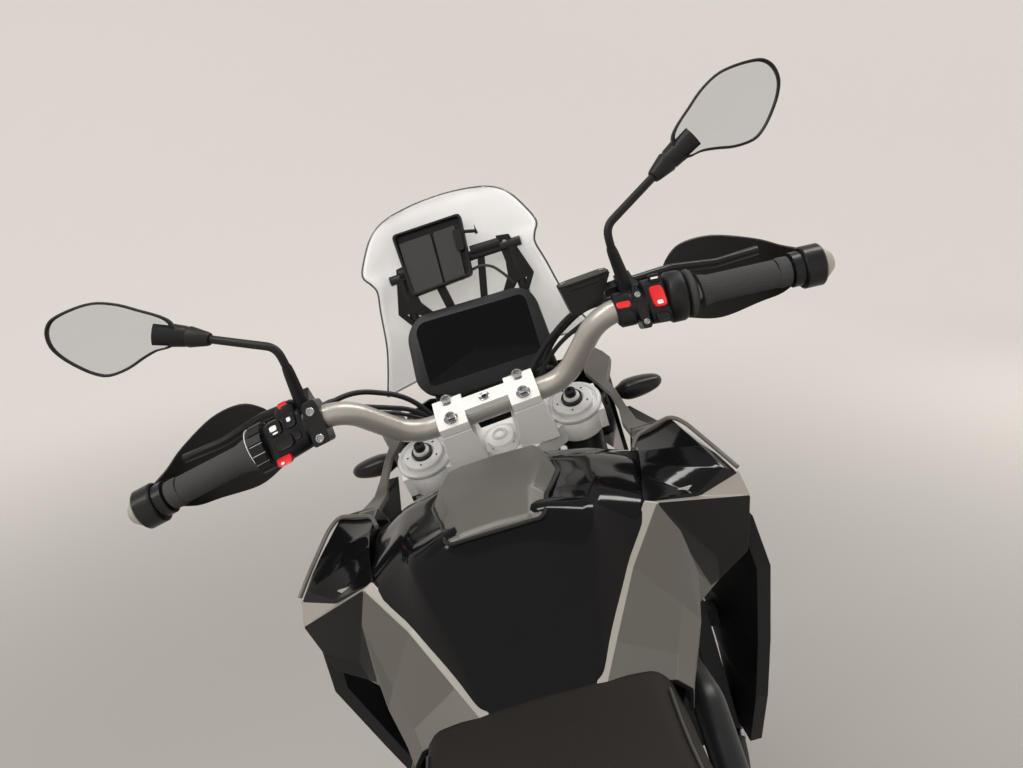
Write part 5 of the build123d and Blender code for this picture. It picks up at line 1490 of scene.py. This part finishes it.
# ------------------------------------------------------------------ tank, panels and seats
@dataclass(frozen=True)
class Tank:
    """The gloss black tank: creased down its middle, with soft shoulders."""

    # columns: x, then y and z of the half outline: middle, crease, ridge, panel's edge, flank, foot, middle
    rows: Rows = (
        (1100, 0, 992, 30, 990, 44, 984, 60, 972, 70, 940, 56, 905, 0, 900),
        (1066, 0, 1040, 50, 1038, 100, 1026, 150, 1006, 176, 950, 150, 885, 0, 880),
        (998, 0, 1060, 58, 1058, 108, 1048, 152, 1026, 190, 960, 168, 880, 0, 875),
        (948, 0, 1062, 50, 1061, 106, 1052, 150, 1022, 184, 955, 164, 870, 0, 866),
        (889, 0, 1062, 44, 1060, 96, 1050, 144, 1016, 162, 940, 156, 868, 0, 862),
        (845, 0, 1056, 43, 1056, 88, 1034, 108, 974, 142, 902, 138, 866, 0, 860),
        (800, 0, 958, 28, 962, 64, 954, 72, 932, 124, 894, 126, 864, 0, 860),
        (757, 0, 872, 26, 871, 50, 870, 56, 869, 100, 868, 104, 862, 0, 858),
    )
    bend: float = 9.0

    def outline(self, row: Sequence[float]) -> list[Point]:
        """Works out the whole outline of one row, with softened corners.

        Args:
            row: one row of the table.

        Returns:
            The points, in order.
        """
        x, half = row[0], list(zip(row[1::2], row[2::2]))
        whole = half + [(-y, z) for y, z in half[-2:0:-1]]
        return [(x, y, z) for y, z in rounded_loop(whole, self.bend, 4)]

    def build(self) -> None:
        """Makes the tank."""
        body = Shape(CHASSIS, GLOSS_BLACK)
        body.rings([self.outline(row) for row in flowing(self.rows, 6)])
        body.build("tank_body", sharp=50, replaces=["fuel_tank"], slot="tank_black")


@dataclass(frozen=True)
class Plateau:
    """The raised grey cover on top of the tank, with a dark joint round it."""

    # columns: x, half width of the foot, half width of the top, height of the foot, height of the top
    rows: Rows = (
        (1046, 44, 40, 1040, 1050), (1036, 53, 48, 1044, 1062), (998, 60, 52, 1050, 1073),
        (940, 67, 56, 1054, 1078), (892, 56, 45, 1056, 1077), (882, 52, 42, 1056, 1074),
        (848, 47, 38, 1052, 1061), (843, 43, 36, 1050, 1057),
    )

    def build(self) -> None:
        """Makes the cover and the joint round it."""
        cover = Shape(CHASSIS, SATIN_GREY)
        rows = []
        for x, foot, top, low, high in self.rows:
            half = [(0, high + 1.5), (top * 0.9, high), (top, high - 2), (foot, low + 6), (foot, low)]
            rows.append([(x, y, z) for y, z in half + [(-y, z) for y, z in half[:0:-1]]])
        cover.rings(rows)
        cover.build("tank_plateau", bevel=2.2, sharp=16, replaces=["tank_cover"], slot="cover_silver")
        joint = Shape(CHASSIS, SATIN_BLACK)
        edge = [(x, foot + 1.5, low + 5) for x, foot, _, low, _ in self.rows]
        ring = rounded(edge + [(x, -y, z) for x, y, z in edge[::-1]], 8)
        joint.tube([*ring, ring[0]], 2.2, 8)
        joint.build("tank_joint")


@dataclass(frozen=True)
class SidePanels:
    """The angular grey panels beside the tank, with a painted highlight along their edge and painted shade
    in their hollow.
    """

    # corners on the left side
    corners: Route = (
        (889, 141, 1022), (905, 147, 1017), (974, 252, 987), (959, 255, 962), (955, 244, 926),
        (932, 201, 916), (911, 183, 901), (889, 153, 1016), (889, 168, 980), (889, 173, 930),
        (889, 166, 898), (845, 103, 981), (845, 112, 980), (845, 146, 928), (845, 159, 906),
        (845, 150, 880), (800, 67, 938), (800, 77, 937), (800, 127, 908), (800, 139, 892), (800, 132, 868),
        (776, 48, 913), (776, 58, 913), (776, 119, 900), (776, 131, 886), (776, 126, 866), (950, 236, 905),
        (925, 195, 896),
    )
    # the upper edge facets, which take the lighter grey as painted highlight
    highlight_edge_faces: Loops = (
        (0, 1, 7), (1, 2, 3), (1, 3, 7), (0, 7, 12, 11), (11, 12, 17, 16), (16, 17, 22, 21),
    )
    # the hollow facets, which take the near-black grey as painted shade
    shaded_hollow_faces: Loops = ((7, 3, 4), (7, 4, 5), (7, 5, 6), (4, 26, 27, 5), (5, 27, 6))
    plain_faces: Loops = (
        (7, 6, 9, 8), (6, 10, 9), (7, 8, 13, 12), (8, 9, 14, 13), (12, 13, 18, 17), (13, 14, 19, 18),
        (17, 18, 23, 22), (18, 19, 24, 23), (9, 10, 15, 14), (14, 15, 20, 19), (19, 20, 25, 24),
        (6, 27, 10),
    )
    wall: float = 5.0

    def build(self) -> None:
        """Makes both panels as closed shells in three finishes: the satin grey, a lighter grey painted as
        highlight on the edge facets and a near-black grey painted as shade in the hollow.
        """
        shape = Shape(CHASSIS, PANEL_EDGE_HIGHLIGHT)
        for side in SIDES:
            outer = on_side(self.corners, side)
            inner = [(x + 1, side * (y - self.wall), z - self.wall * 0.5) for x, y, z in self.corners]
            count = len(outer)
            # painted highlight: the edge facets take the lighter grey
            shape.use(PANEL_EDGE_HIGHLIGHT).faces(outer, self.highlight_edge_faces)
            # painted shade: the hollow facets take the near-black grey
            shape.use(DARK_GREY).faces(outer, self.shaded_hollow_faces)
            shape.use(SATIN_GREY).faces(outer, self.plain_faces)
            every = self.highlight_edge_faces + self.shaded_hollow_faces + self.plain_faces
            shape.use(DARK_GREY).faces(inner, every)
            used = [pair for loop in every for pair in zip(loop, (*loop[1:], loop[0]))]
            rim = [(a, b) for a, b in used if (b, a) not in used and used.count((a, b)) == 1]
            shape.faces(outer + inner, [(a, b, b + count, a + count) for a, b in rim])
        shape.build("panel_skins", bevel=1.6, sharp=8, replaces=["side_panels"], slot="cover_silver")


@dataclass(frozen=True)
class Wings:
    """The lips on the black wings in front of the panels."""

    lip: Route = (
        (1010, 152, 1031), (1036, 160, 1036), (1067, 207, 1036), (1050, 219, 1030), (996, 240, 1006),
        (975, 252, 990),
    )

    def build(self) -> None:
        """Makes both lips."""
        shape = Shape(CHASSIS, TRIM_BROWN)
        for side in SIDES:
            shape.tube(rounded(on_side(self.lip, side), 12), 2.6, 10)
        shape.build("wing_lips")


@dataclass(frozen=True)
class Seat:
    """One part of the seat: a crowned foam block in a seamed cover."""

    name: str
    node: str
    # columns: x, half width at the top, half width at the foot, top, foot
    rows: Rows
    crown: float
    fill: float
    roll: float = 20.0
    end: float = 9.0
    # how far the outlines of a rounded end are drawn in
    shrinks: tuple[float, ...] = (12.0, 5.0, 2.0)

    def outline(self, row: Sequence[float], shrink: float = 0.0) -> list[Point]:
        """Works out the crowned outline of one row.

        Args:
            row: one row of the table.
            shrink: how far it is drawn in.

        Returns:
            The points, in order.
        """
        x, half, foot, top, low = row
        half, foot, top, low = half - shrink, foot - shrink, top - shrink * 0.6, low + shrink * 0.3
        run = half - self.roll
        over = [(run * k / 8, top + self.crown * (1 - (k / 8) ** 2)) for k in range(9)]
        for k in range(1, 6):
            angle = math.radians(18 * k)
            over.append((run + self.roll * math.sin(angle), top - self.roll + self.roll * math.cos(angle)))
        over += [
            (half * 0.4 + foot * 0.6 + 1, low + 10), (foot, low + 4), (foot - 5, low), (foot * 0.5, low)
        ]
        return [(x, y, z) for y, z in over + [(-y, z) for y, z in over[:0:-1]]]

    def build(self) -> None:
        """Makes the seat and its seam."""
        smooth = flowing(self.rows, 5)
        first, last = smooth[0], smooth[-1]
        way = 1 if first[0] > last[0] else -1
        steps = [(way * max(0.0, self.end - shrink), shrink) for shrink in self.shrinks]
        rows = [self.outline((first[0] - step, *first[1:]), shrink) for step, shrink in steps]
        for row in smooth[1:-1]:
            if min(abs(row[0] - first[0]), abs(row[0] - last[0])) > self.end:
                rows.append(self.outline(row))
        rows += [self.outline((last[0] + step, *last[1:]), shrink) for step, shrink in steps[::-1]]
        pad = Shape(CHASSIS, SEAT_SKIN)
        pad.rings(rows)
        piece = pad.build(self.name, sharp=70, replaces=[self.node], slot="seat_cover")
        seam = Shape(CHASSIS, SEAT_SEAM)
        edge = [(x, half - self.roll * 0.25, top - self.roll * 0.22) for x, half, _, top, _ in smooth[2:-2]]
        for side in SIDES:
            seam.tube(on_side(edge, side), 1.5, 8)
        seam.build(f"{self.name}_seam")


BODY_PIECES = (
    Tank(),
    Plateau(),
    SidePanels(),
    Wings(),
    Seat(
        "rider_pad",
        "rider_seat",
        (
            (788, 115, 118, 914, 868), (700, 118, 126, 898, 852), (600, 132, 144, 873, 845),
            (500, 148, 150, 863, 842), (430, 140, 146, 873, 850), (404, 118, 130, 884, 860),
        ),
        crown=5.0,
        fill=0.9,
    ),
    Seat(
        "passenger_pad",
        "passenger_seat",
        (
            (403, 118, 130, 902, 862), (380, 126, 134, 922, 866), (250, 122, 130, 930, 876),
            (110, 106, 118, 940, 900), (84, 96, 108, 934, 904),
        ),
        crown=6.0,
        fill=0.85,
    ),
)


# ------------------------------------------------------------------ running gear and engine details
def in_frame(axes: Axes, other: Axes) -> Vector:
    """Returns where one frame stands in another, in millimetres."""
    return axes.matrix.inverted() @ other.matrix.translation / MM


@dataclass(frozen=True)
class Tread:
    """The blocks of one tyre's road tread, standing a little proud of its round crown."""

    wheel: str
    radius: float
    half_width: float
    shoulder: float
    pitches: int
    proud: float = 1.4
    # columns: inner and outer edge as shares of the crown, start and length as shares of a pitch, slant
    blocks: Rows = (
        (0.03, 0.29, 0.0, 0.66, 0.22), (0.35, 0.64, 0.16, 0.74, 0.34), (0.71, 0.98, 0.42, 0.6, 0.12),
    )
    # columns: share of a block's width, height as a share of proud
    block_section: Outline = ((0, -0.6), (0, 1), (0.5, 1), (1, 1), (1, -0.6))

    def build(self) -> None:
        """Makes all the blocks as one piece."""
        bend = (self.half_width**2 + self.shoulder**2) / (2 * self.shoulder)
        widest = math.asin(self.half_width / bend)
        shape = Shape(AXES[self.wheel], TYRE_RUBBER)

        def at(share: float, turn: float, lift: float) -> Vector:
            """Returns a place on the tyre's crown.

            Args:
                share: how far out it is, as a share of the way to the crown's edge.
                turn: its angle round the wheel.
                lift: its height above the crown.

            Returns:
                The place.
            """
            across, out = share * widest, bend + lift
            reach = self.radius - bend + out * math.cos(across)
            return Vector((reach * math.cos(turn), out * math.sin(across), reach * math.sin(turn)))

        step = math.tau / self.pitches
        for pitch, side in product(range(self.pitches), SIDES):
            first = pitch + (0.5 if side < 0 else 0.0)
            for inner, outer, start, length, slant in self.blocks:
                rows = []
                for part in (0.0, 0.5, 1.0):
                    ring = []
                    for share, lift in self.block_section:
                        turn = step * (first + start + length * part + slant * share)
                        place = side * (inner + (outer - inner) * share)
                        ring.append(at(place, turn, lift * self.proud))
                    rows.append(ring)
                shape.rings(rows)
        shape.build(f"{self.wheel}_tread", sharp=30)


@dataclass(frozen=True)
class WheelHardware:
    """The spoke nipples and the disc bolts of one wheel."""

    wheel: str
    nipple_ring: float
    nipple_half: float
    disc_faces: tuple[float, ...]
    bolt_ring: float
    nipples: int = 16
    bolts: int = 6

    def build(self) -> None:
        """Makes the nipples and the bolts."""
        shape = Shape(AXES[self.wheel], STEEL)
        step = math.tau / self.nipples
        for side, n in product(SIDES, range(self.nipples)):
            turn = step * (n + side * 0.25 + (1.5 if n % 2 else -1.5))
            way = (math.cos(turn), 0.0, math.sin(turn))
            place = Vector(way) * self.nipple_ring + Vector((0, side * self.nipple_half, 0))
            shape.lathe([(-16, 2.6), (-15, 3.2), (-4, 3.2), (-3, 4.2), (0, 4.2)], place, way, 10)
        for face in self.disc_faces:
            way = (0, math.copysign(1, face), 0)
            for n in range(self.bolts):
                turn = math.tau * (n + 0.5) / self.bolts
                place = (self.bolt_ring * math.cos(turn), face, self.bolt_ring * math.sin(turn))
                shape.bolt(place, way, 4.6, 3.4)
        shape.build(f"{self.wheel}_hardware")


@dataclass(frozen=True)
class ChainLinks:
    """The outer plates and pin heads of the final-drive chain."""

    pitch: float = 15.875
    middle_y: float = 92.0
    half: float = 6.0
    plate: float = 6.2
    front: Point = (626.0, 430.0, 50.0)
    rear_radius: float = 113.5

    def _path(self) -> list[Vector]:
        """Works out evenly spaced pin places round both sprockets.

        Returns:
            The places, in order.
        """
        fx, fz, small = self.front
        axle = in_frame(CHASSIS, AXES["rear_wheel"])
        span, slope = math.hypot(fx, fz - axle.z), math.atan2(fz - axle.z, fx)
        spread = math.asin((self.rear_radius - small) / span)
        top, low = slope + math.pi / 2 - spread, slope - math.pi / 2 + spread
        dense = []
        for x, z, radius, start, stop in (
            (fx, fz, small, top, low),
            (0.0, axle.z, self.rear_radius, low, top - math.tau),
        ):
            for k in range(61):
                turn = start + (stop - start) * k / 60
                reach, rise = radius * math.cos(turn), radius * math.sin(turn)
                dense.append(Vector((x + reach, self.middle_y, z + rise)))
        dense.append(dense[0])
        runs = [(b - a).length for a, b in zip(dense, dense[1:])]
        count = 2 * round(sum(runs) / self.pitch / 2)
        spots, walked, i = [], 0.0, 0
        for n in range(count):
            goal = sum(runs) * n / count
            while walked + runs[i] < goal:
                walked += runs[i]
                i += 1
            spots.append(dense[i].lerp(dense[i + 1], (goal - walked) / runs[i]))
        return spots

    def build(self) -> None:
        """Makes the plates and the pins."""
        shape = Shape(CHASSIS, CHAIN_STEEL)
        spots = self._path()
        for n in range(0, len(spots), 2):
            a, b = spots[n], spots[(n + 1) % len(spots)]
            along = (b - a).normalized()
            lift = Vector((0, 1, 0)).cross(along)
            outline = []
            for (centre, way), k in product(((b, 1), (a, -1)), range(5)):
                reach, turn = self.plate * way, math.radians(-90 + 45 * k)
                outline.append(centre + along * (reach * math.cos(turn)) + lift * (reach * math.sin(turn)))
            for side in SIDES:
                near, far = self.half - 0.4, self.half + 1.5
                shape.rings([[p + Vector((0, side * y, 0)) for p in outline] for y in (near, far)])
                for pin in (a, b):
                    shape.lathe([(far - 0.2, 2.4), (far + 0.8, 2.2)], pin, (0, side, 0), 8)
        shape.build("chain_links", sharp=40)


@dataclass(frozen=True)
class EngineFittings:
    """Cover bolts, the oil filler and the two coolant hoses."""

    # columns: x, z, y of the face, radius, number of bolts
    covers: Rows = (
        (895, 430, 148, 84, 9), (900, 430, 154, 46, 5), (800, 425, -152, 92, 10), (806, 425, -160, 58, 6),
        (935, 425, -136, 60, 8),
    )
    inset: float = 8.0
    filler: Outline = ((-1, 17), (6, 17), (8, 15), (8, 9), (10, 8), (10, 2))
    hoses: tuple[Route, ...] = (
        ((1156, 180, 738), (1104, 170, 744), (1060, 134, 758), (1002, 100, 752)),
        ((1156, -180, 546), (1112, -176, 520), (1050, -150, 458), (984, -122, 430)),
    )

    def _hidden(self, x: float, z: float, face: float) -> bool:
        """Tells whether another cover stands over that place.

        Args:
            x: the place's x.
            z: the place's z.
            face: y of the cover's face that it is on.

        Returns:
            Whether it is hidden.
        """
        return any(
            abs(y) > abs(face) and y * face > 0 and math.hypot(x - cx, z - cz) < radius + 7
            for cx, cz, y, radius, _ in self.covers
        )

    def build(self) -> None:
        """Makes the bolts, the filler cap and the hoses with their clips."""
        bolts = Shape(CHASSIS, STEEL)
        for x, z, face, radius, count in self.covers:
            out, reach = math.copysign(1, face), radius - self.inset
            for n in range(int(count)):
                turn = math.tau * (n + 0.25) / count
                spot = (x + reach * math.cos(turn), z + reach * math.sin(turn))
                if not self._hidden(*spot, face):
                    bolts.bolt((spot[0], face - out * 0.4, spot[1]), (0, out, 0), 4.6, 4)
        bolts.use(SATIN_BLACK).lathe(self.filler, (900, 154, 430), (0, 1, 0), 28)
        bolts.build("engine_bolts", bevel=0.3)
        hose = Shape(CHASSIS, GRIP_RUBBER)
        for route in self.hoses:
            path = rounded(route, 30, 7)
            hose.use(GRIP_RUBBER).tube(path, 15, 24)
            for end, beyond in ((path[0], path[1]), (path[-1], path[-2])):
                way = (beyond - end).normalized()
                hose.use(STEEL).lathe([(20, 15), (20, 16.4), (29, 16.4), (29, 15)], end, way, 28)
        hose.build("coolant_hoses", sharp=50)


@dataclass(frozen=True)
class SilencerTrim:
    """The silencer's dark end cap and its two bands."""

    foot: Point = (330.0, -176.0, 505.0)
    tip: Point = (-150.0, -186.0, 660.0)
    # columns: how far along, half width, half height
    can: Rows = ((34, 42, 50), (90, 46, 56), (400, 48, 58), (504.5, 34, 44))
    # columns: how far along, how far outside the skin
    end_cap: Outline = ((430, -1), (430, 2.0), (500, 2.2), (506, -1), (506, -8), (480, -9))
    band: Outline = ((0, -1), (0, 1.6), (16, 1.6), (16, -1))

    def _ring(self, along: float, extra: float) -> list[Vector]:
        """Works out the can's outline at a place along it.

        Args:
            along: how far along the can.
            extra: how far outside its skin.

        Returns:
            The points, in order.
        """
        axis = (Vector(self.tip) - Vector(self.foot)).normalized()
        side = (Vector((0, 1, 0)) - axis * axis.y).normalized()
        lift = axis.cross(side)
        below = max((row for row in self.can if row[0] <= along), default=self.can[0])
        above = min((row for row in self.can if row[0] >= along), default=self.can[-1])
        share = (along - below[0]) / max(above[0] - below[0], 1e-6)
        wide, tall = (below[k] + (above[k] - below[k]) * share + extra for k in (1, 2))
        corners = [(wide, -tall), (wide, tall), (-wide, tall), (-wide, -tall)]
        centre = Vector(self.foot) + axis * along
        return [centre + side * a + lift * b for a, b in rounded_loop(corners, wide * 0.9, 7)]

    def build(self) -> None:
        """Makes the end cap and the bands."""
        shape = Shape(CHASSIS, SATIN_BLACK)
        shape.rings([self._ring(along, extra) for along, extra in self.end_cap])
        shape.use(BAR_ALLOY)
        for along in (96.0, 300.0):
            shape.rings([self._ring(along + further, extra) for further, extra in self.band])
        shape.build("silencer_trim", bevel=0.6, sharp=50)


@dataclass(frozen=True)
class Plate:
    """The blank registration plate on its holder."""

    middle: Point = (-322.3, 0.0, 640.1)
    half: Flat = (97.0, 72.0)

    def build(self) -> None:
        """Makes the plate and its two screws."""
        down = Vector((-52, 0, -140)).normalized()
        out = Vector((0, 1, 0)).cross(down)

        def at(a: float, b: float, proud: float) -> Vector:
            """Returns a place to the left, down and proud of the plate's middle."""
            return Vector(self.middle) + out * proud + Vector((0, a, 0)) + down * b

        shape = Shape(CHASSIS, PLATE_BLANK)
        shape.rings(stacked(at, superellipse(*self.half, 14.0, 48), ((1, 2.0), (1, 3.6))))
        shape.use(STEEL)
        for y in (60, -60):
            shape.bolt(at(y, -52, 3.4), out, 4.4, 2)
        shape.build("blank_plate", bevel=0.4)


@dataclass(frozen=True)
class BrakeHoses:
    """The two front brake hoses, from the calipers up to the lower yoke."""

    radius: float = 3.6

    def build(self) -> None:
        """Makes both hoses and their fittings."""
        shape = Shape(STEERING, SATIN_BLACK)
        axle = in_frame(STEERING, AXES["front_wheel"])
        for side in SIDES:
            route = [
                (axle.x - 84, side * 70, axle.z + 118), (axle.x - 92, side * 86, axle.z + 176),
                (-16, side * 99, axle.z + 260), (-14, side * 99, -320), (-14, side * 98, -218),
            ]
            shape.use(SATIN_BLACK).tube(rounded(route, 30, 6), self.radius, 12)
            shape.use(STEEL).lathe([(-8, 5.5), (10, 5.5), (12, 4)], route[0], (-0.2, side * 0.3, 1.0), 16)
        shape.build("brake_hoses", sharp=60)


GEAR_PIECES = (
    Tread("front_wheel", 347.0, 45.0, 34.0, 34), Tread("rear_wheel", 321.0, 75.0, 42.0, 30),
    WheelHardware("front_wheel", 254.0, 14.0, (58.5, -58.5), 36.0),
    WheelHardware("rear_wheel", 203.0, 26.0, (-94.5,), 36.0),
    ChainLinks(), EngineFittings(), SilencerTrim(), Plate(), BrakeHoses(),
)


# ------------------------------------------------------------------ studio
@dataclass(frozen=True)
class Camera:
    """The camera, given in the upright machine's frame, in millimetres and degrees."""

    place: Point = (127.04, -105.58, 1359.19)
    heading: float = 3.90
    down: float = 13.67
    roll: float = -18.2
    lens: float = 29.37
    sensor: float = 36.0

    def build(self) -> None:
        """Makes the scene's camera."""
        heading, down, roll = (math.radians(a) for a in (self.heading, self.down, self.roll))
        level_share = math.cos(down)
        ahead = Vector((math.cos(heading) * level_share, math.sin(heading) * level_share, -math.sin(down)))
        level = ahead.cross(Vector((0, 0, 1))).normalized()
        lift = level.cross(ahead)
        right = level * math.cos(roll) + lift * math.sin(roll)
        up = lift * math.cos(roll) - level * math.sin(roll)
        turn = Matrix([CHASSIS.turn(v) for v in (right, up, -ahead)]).transposed()
        data = bpy.data.cameras.new("camera")
        data.lens, data.sensor_width = self.lens, self.sensor
        data.clip_start, data.clip_end = 0.02, 60.0
        eye = bpy.data.objects.new("camera", data)
        eye.matrix_world = Matrix.Translation(CHASSIS.place(self.place)) @ turn.to_4x4()
        bpy.context.scene.collection.objects.link(eye)
        bpy.context.scene.camera = eye


@dataclass(frozen=True)
class Lamp:
    """A soft rectangular studio light."""

    name: str
    place: Point
    target: Point
    size: Flat
    power: float
    colour: Colour = (1.0, 0.975, 0.94)
    mirrored: bool = True

    def build(self) -> None:
        """Makes the light, seen in shiny surfaces only if it is mirrored."""
        data = bpy.data.lights.new(self.name, "AREA")
        data.shape = "RECTANGLE"
        data.size, data.size_y = self.size
        data.energy, data.color = self.power, self.colour
        light = bpy.data.objects.new(self.name, data)
        light.location = self.place
        light.visible_glossy = self.mirrored
        way = Vector(self.target) - Vector(self.place)
        light.rotation_euler = way.to_track_quat("-Z", "Y").to_euler()
        bpy.context.scene.collection.objects.link(light)


@dataclass(frozen=True)
class Studio:
    """A pale floor that curves up into a wall all round, and its lights."""

    floor_radius: float = 5.0
    wall_radius: float = 8.0
    wall_height: float = 6.0
    floor_colour: Colour = (0.30, 0.288, 0.272)
    wall_colour: Colour = (0.62, 0.595, 0.57)
    wall_glow: float = 0.43
    fade: Flat = (1.4, 6.0)
    sky: float = 0.38
    sky_colour: Colour = (1.0, 0.98, 0.95)
    bend_steps: int = 14
    sides: int = 96
    lamps: tuple[Lamp, ...] = (
        Lamp("ceiling_left", (-0.6, 1.6, 3.6), (0.2, 0.0, 0.8), (0.5, 2.6), 50.0),
        Lamp("ceiling_right", (0.9, -1.2, 3.6), (0.3, 0.0, 0.8), (0.35, 2.8), 50.0),
        Lamp("window", (-3.2, 0.6, 2.8), (0.3, 0.0, 0.9), (3.0, 2.0), 150.0, mirrored=False),
        Lamp("side_fill", (1.5, 3.8, 2.2), (0.2, 0.0, 0.7), (2.5, 2.0), 22.0, mirrored=False),
        Lamp("far_fill", (2.6, -3.4, 2.4), (0.0, 0.0, 0.7), (2.5, 2.0), 75.0, mirrored=False),
    )

    def _paint(self) -> bpy.types.Material:
        """Makes the cove's paint, which pales and glows away from the machine.

        Returns:
            The material.
        """
        paint = Paint("cove_paint")
        place = paint.add("TexCoord", {})
        reach = paint.add("VectorMath", {0: place.outputs["Object"]}, operation="LENGTH")
        start, stop = self.fade
        inputs = {"From Min": start, "From Max": stop, "Value": reach.outputs["Value"]}
        away = paint.add("MapRange", inputs, interpolation_type="SMOOTHSTEP").outputs["Result"]
        inputs = {"A": (*self.floor_colour, 1.0), "B": (*self.wall_colour, 1.0), "Factor": away}
        colour = paint.add("Mix", inputs, data_type="RGBA").outputs["Result"]
        glow = paint.add("Math", {0: away, 1: self.wall_glow}, operation="MULTIPLY").outputs[0]
        inputs = {"Base Color": colour, "Emission Color": colour, "Emission Strength": glow}
        paint.feed(paint.shader, {"Roughness": 0.95, **inputs})
        return paint.material

    def _cove(self) -> bpy.types.Object:
        """Makes the floor with the wall that it curves up into.

        Returns:
            The floor and wall, as one piece.
        """
        mesh = bmesh.new()
        profile = [(0.001, 0.0), (self.floor_radius, 0.0)]
        run = self.wall_radius - self.floor_radius
        for step in range(1, self.bend_steps + 1):
            angle = math.radians(90) * step / self.bend_steps
            profile.append((self.floor_radius + run * math.sin(angle), run * (1 - math.cos(angle))))
        profile.append((self.wall_radius, self.wall_height))
        turns = [math.tau * k / self.sides for k in range(self.sides)]
        rows = [[mesh.verts.new((r * math.cos(t), r * math.sin(t), z)) for t in turns] for r, z in profile]
        for low, high in zip(rows, rows[1:]):
            for i in range(self.sides):
                j = (i + 1) % self.sides
                mesh.faces.new((low[i], low[j], high[j], high[i]))
        data = bpy.data.meshes.new("cove")
        mesh.to_mesh(data)
        mesh.free()
        data.polygons.foreach_set("use_smooth", [True] * len(data.polygons))
        data.materials.append(self._paint())
        cove = bpy.data.objects.new("cove", data)
        bpy.context.scene.collection.objects.link(cove)
        return cove

    def build(self) -> None:
        """Makes the cove, the lights and the sky."""
        cove = self._cove()
        world = bpy.data.worlds.new("sky")
        world.use_nodes = True
        sky = world.node_tree.nodes["Background"]
        sky.inputs["Color"].default_value = (*self.sky_colour, 1.0)
        sky.inputs["Strength"].default_value = self.sky
        bpy.context.scene.world = world
        bpy.context.scene.view_settings.view_transform = "Standard"
        for lamp in self.lamps:
            lamp.build()


# ------------------------------------------------------------------ carried-over nodes
# columns: node, finish, edge radius in millimetres
DRESSED = [
    ("front_tyre", TYRE_RUBBER, 0.0),
    ("rear_tyre", TYRE_RUBBER, 0.0),
    ("front_wheel", RIM_BLACK, 0.0),
    ("rear_wheel", RIM_BLACK, 0.0),
    ("front_discs", DISC_STEEL, 0.4),
    ("rear_disc", DISC_STEEL, 0.4),
    ("rear_sprocket", DISC_STEEL, 0.4),
    ("bottom_yoke", CAST_ALLOY, 2.0),
    ("top_yoke", CAST_ALLOY, 1.6),
    ("bar_clamp", CAST_ALLOY, 1.6),
    ("handlebar", BAR_ALLOY, 0.0),
    ("hand_levers", SATIN_BLACK, 1.2),
    ("fork_tubes", FRAME_PAINT, 0.6),
    ("fork_legs", CHROME, 0.8),
    ("front_axle", STEEL, 0.6),
    ("front_calipers", SATIN_BLACK, 1.5),
    ("front_mudguard", BLACK_PLASTIC, 1.0),
    ("frame", FRAME_PAINT, 0.8),
    ("swingarm", CAST_ALLOY, 3.0),
    ("swingarm_shafts", STEEL, 0.6),
    ("rear_subframe", FRAME_PAINT, 0.6),
    ("engine", ENGINE_COAT, 2.0),
    ("exhaust", STAINLESS, 0.0),
    ("silencer", STAINLESS, 2.0),
    ("radiator", RADIATOR_CORE, 1.0),
    ("skid_plate", MACHINED, 1.5),
    ("shock", STEEL, 0.6),
    ("drive_chain", CHAIN_STEEL, 0.6),
    ("rear_caliper", SATIN_BLACK, 1.5),
    ("foot_controls", CAST_ALLOY, 1.2),
    ("tank_wings", GLOSS_BLACK, 2.0),
    ("radiator_shrouds", BLACK_PLASTIC, 2.0),
    ("tail_section", BLACK_PLASTIC, 2.0),
    ("luggage_rack", FRAME_PAINT, 1.5),
    ("tail_lamp", LENS_RED, 1.5),
    ("plate_holder", BLACK_PLASTIC, 0.8),
    ("cockpit_frame", FRAME_PAINT, 0.8),
    ("front_cowl", GLOSS_BLACK, 1.5),
    ("side_stand", FRAME_PAINT, 1.2),
]


def main() -> None:
    """Builds the machine piece by piece, and then its studio."""
    logging.basicConfig(level=logging.INFO, format="%(message)s")
    Camera().build()
    for node, finish, bevel in DRESSED:
        dress(node, finish, bevel)
    for piece in STEERED_PIECES + COCKPIT_PIECES + BODY_PIECES + GEAR_PIECES:
        piece.build()
    Studio().build()


if __name__ == "__main__":
    main()
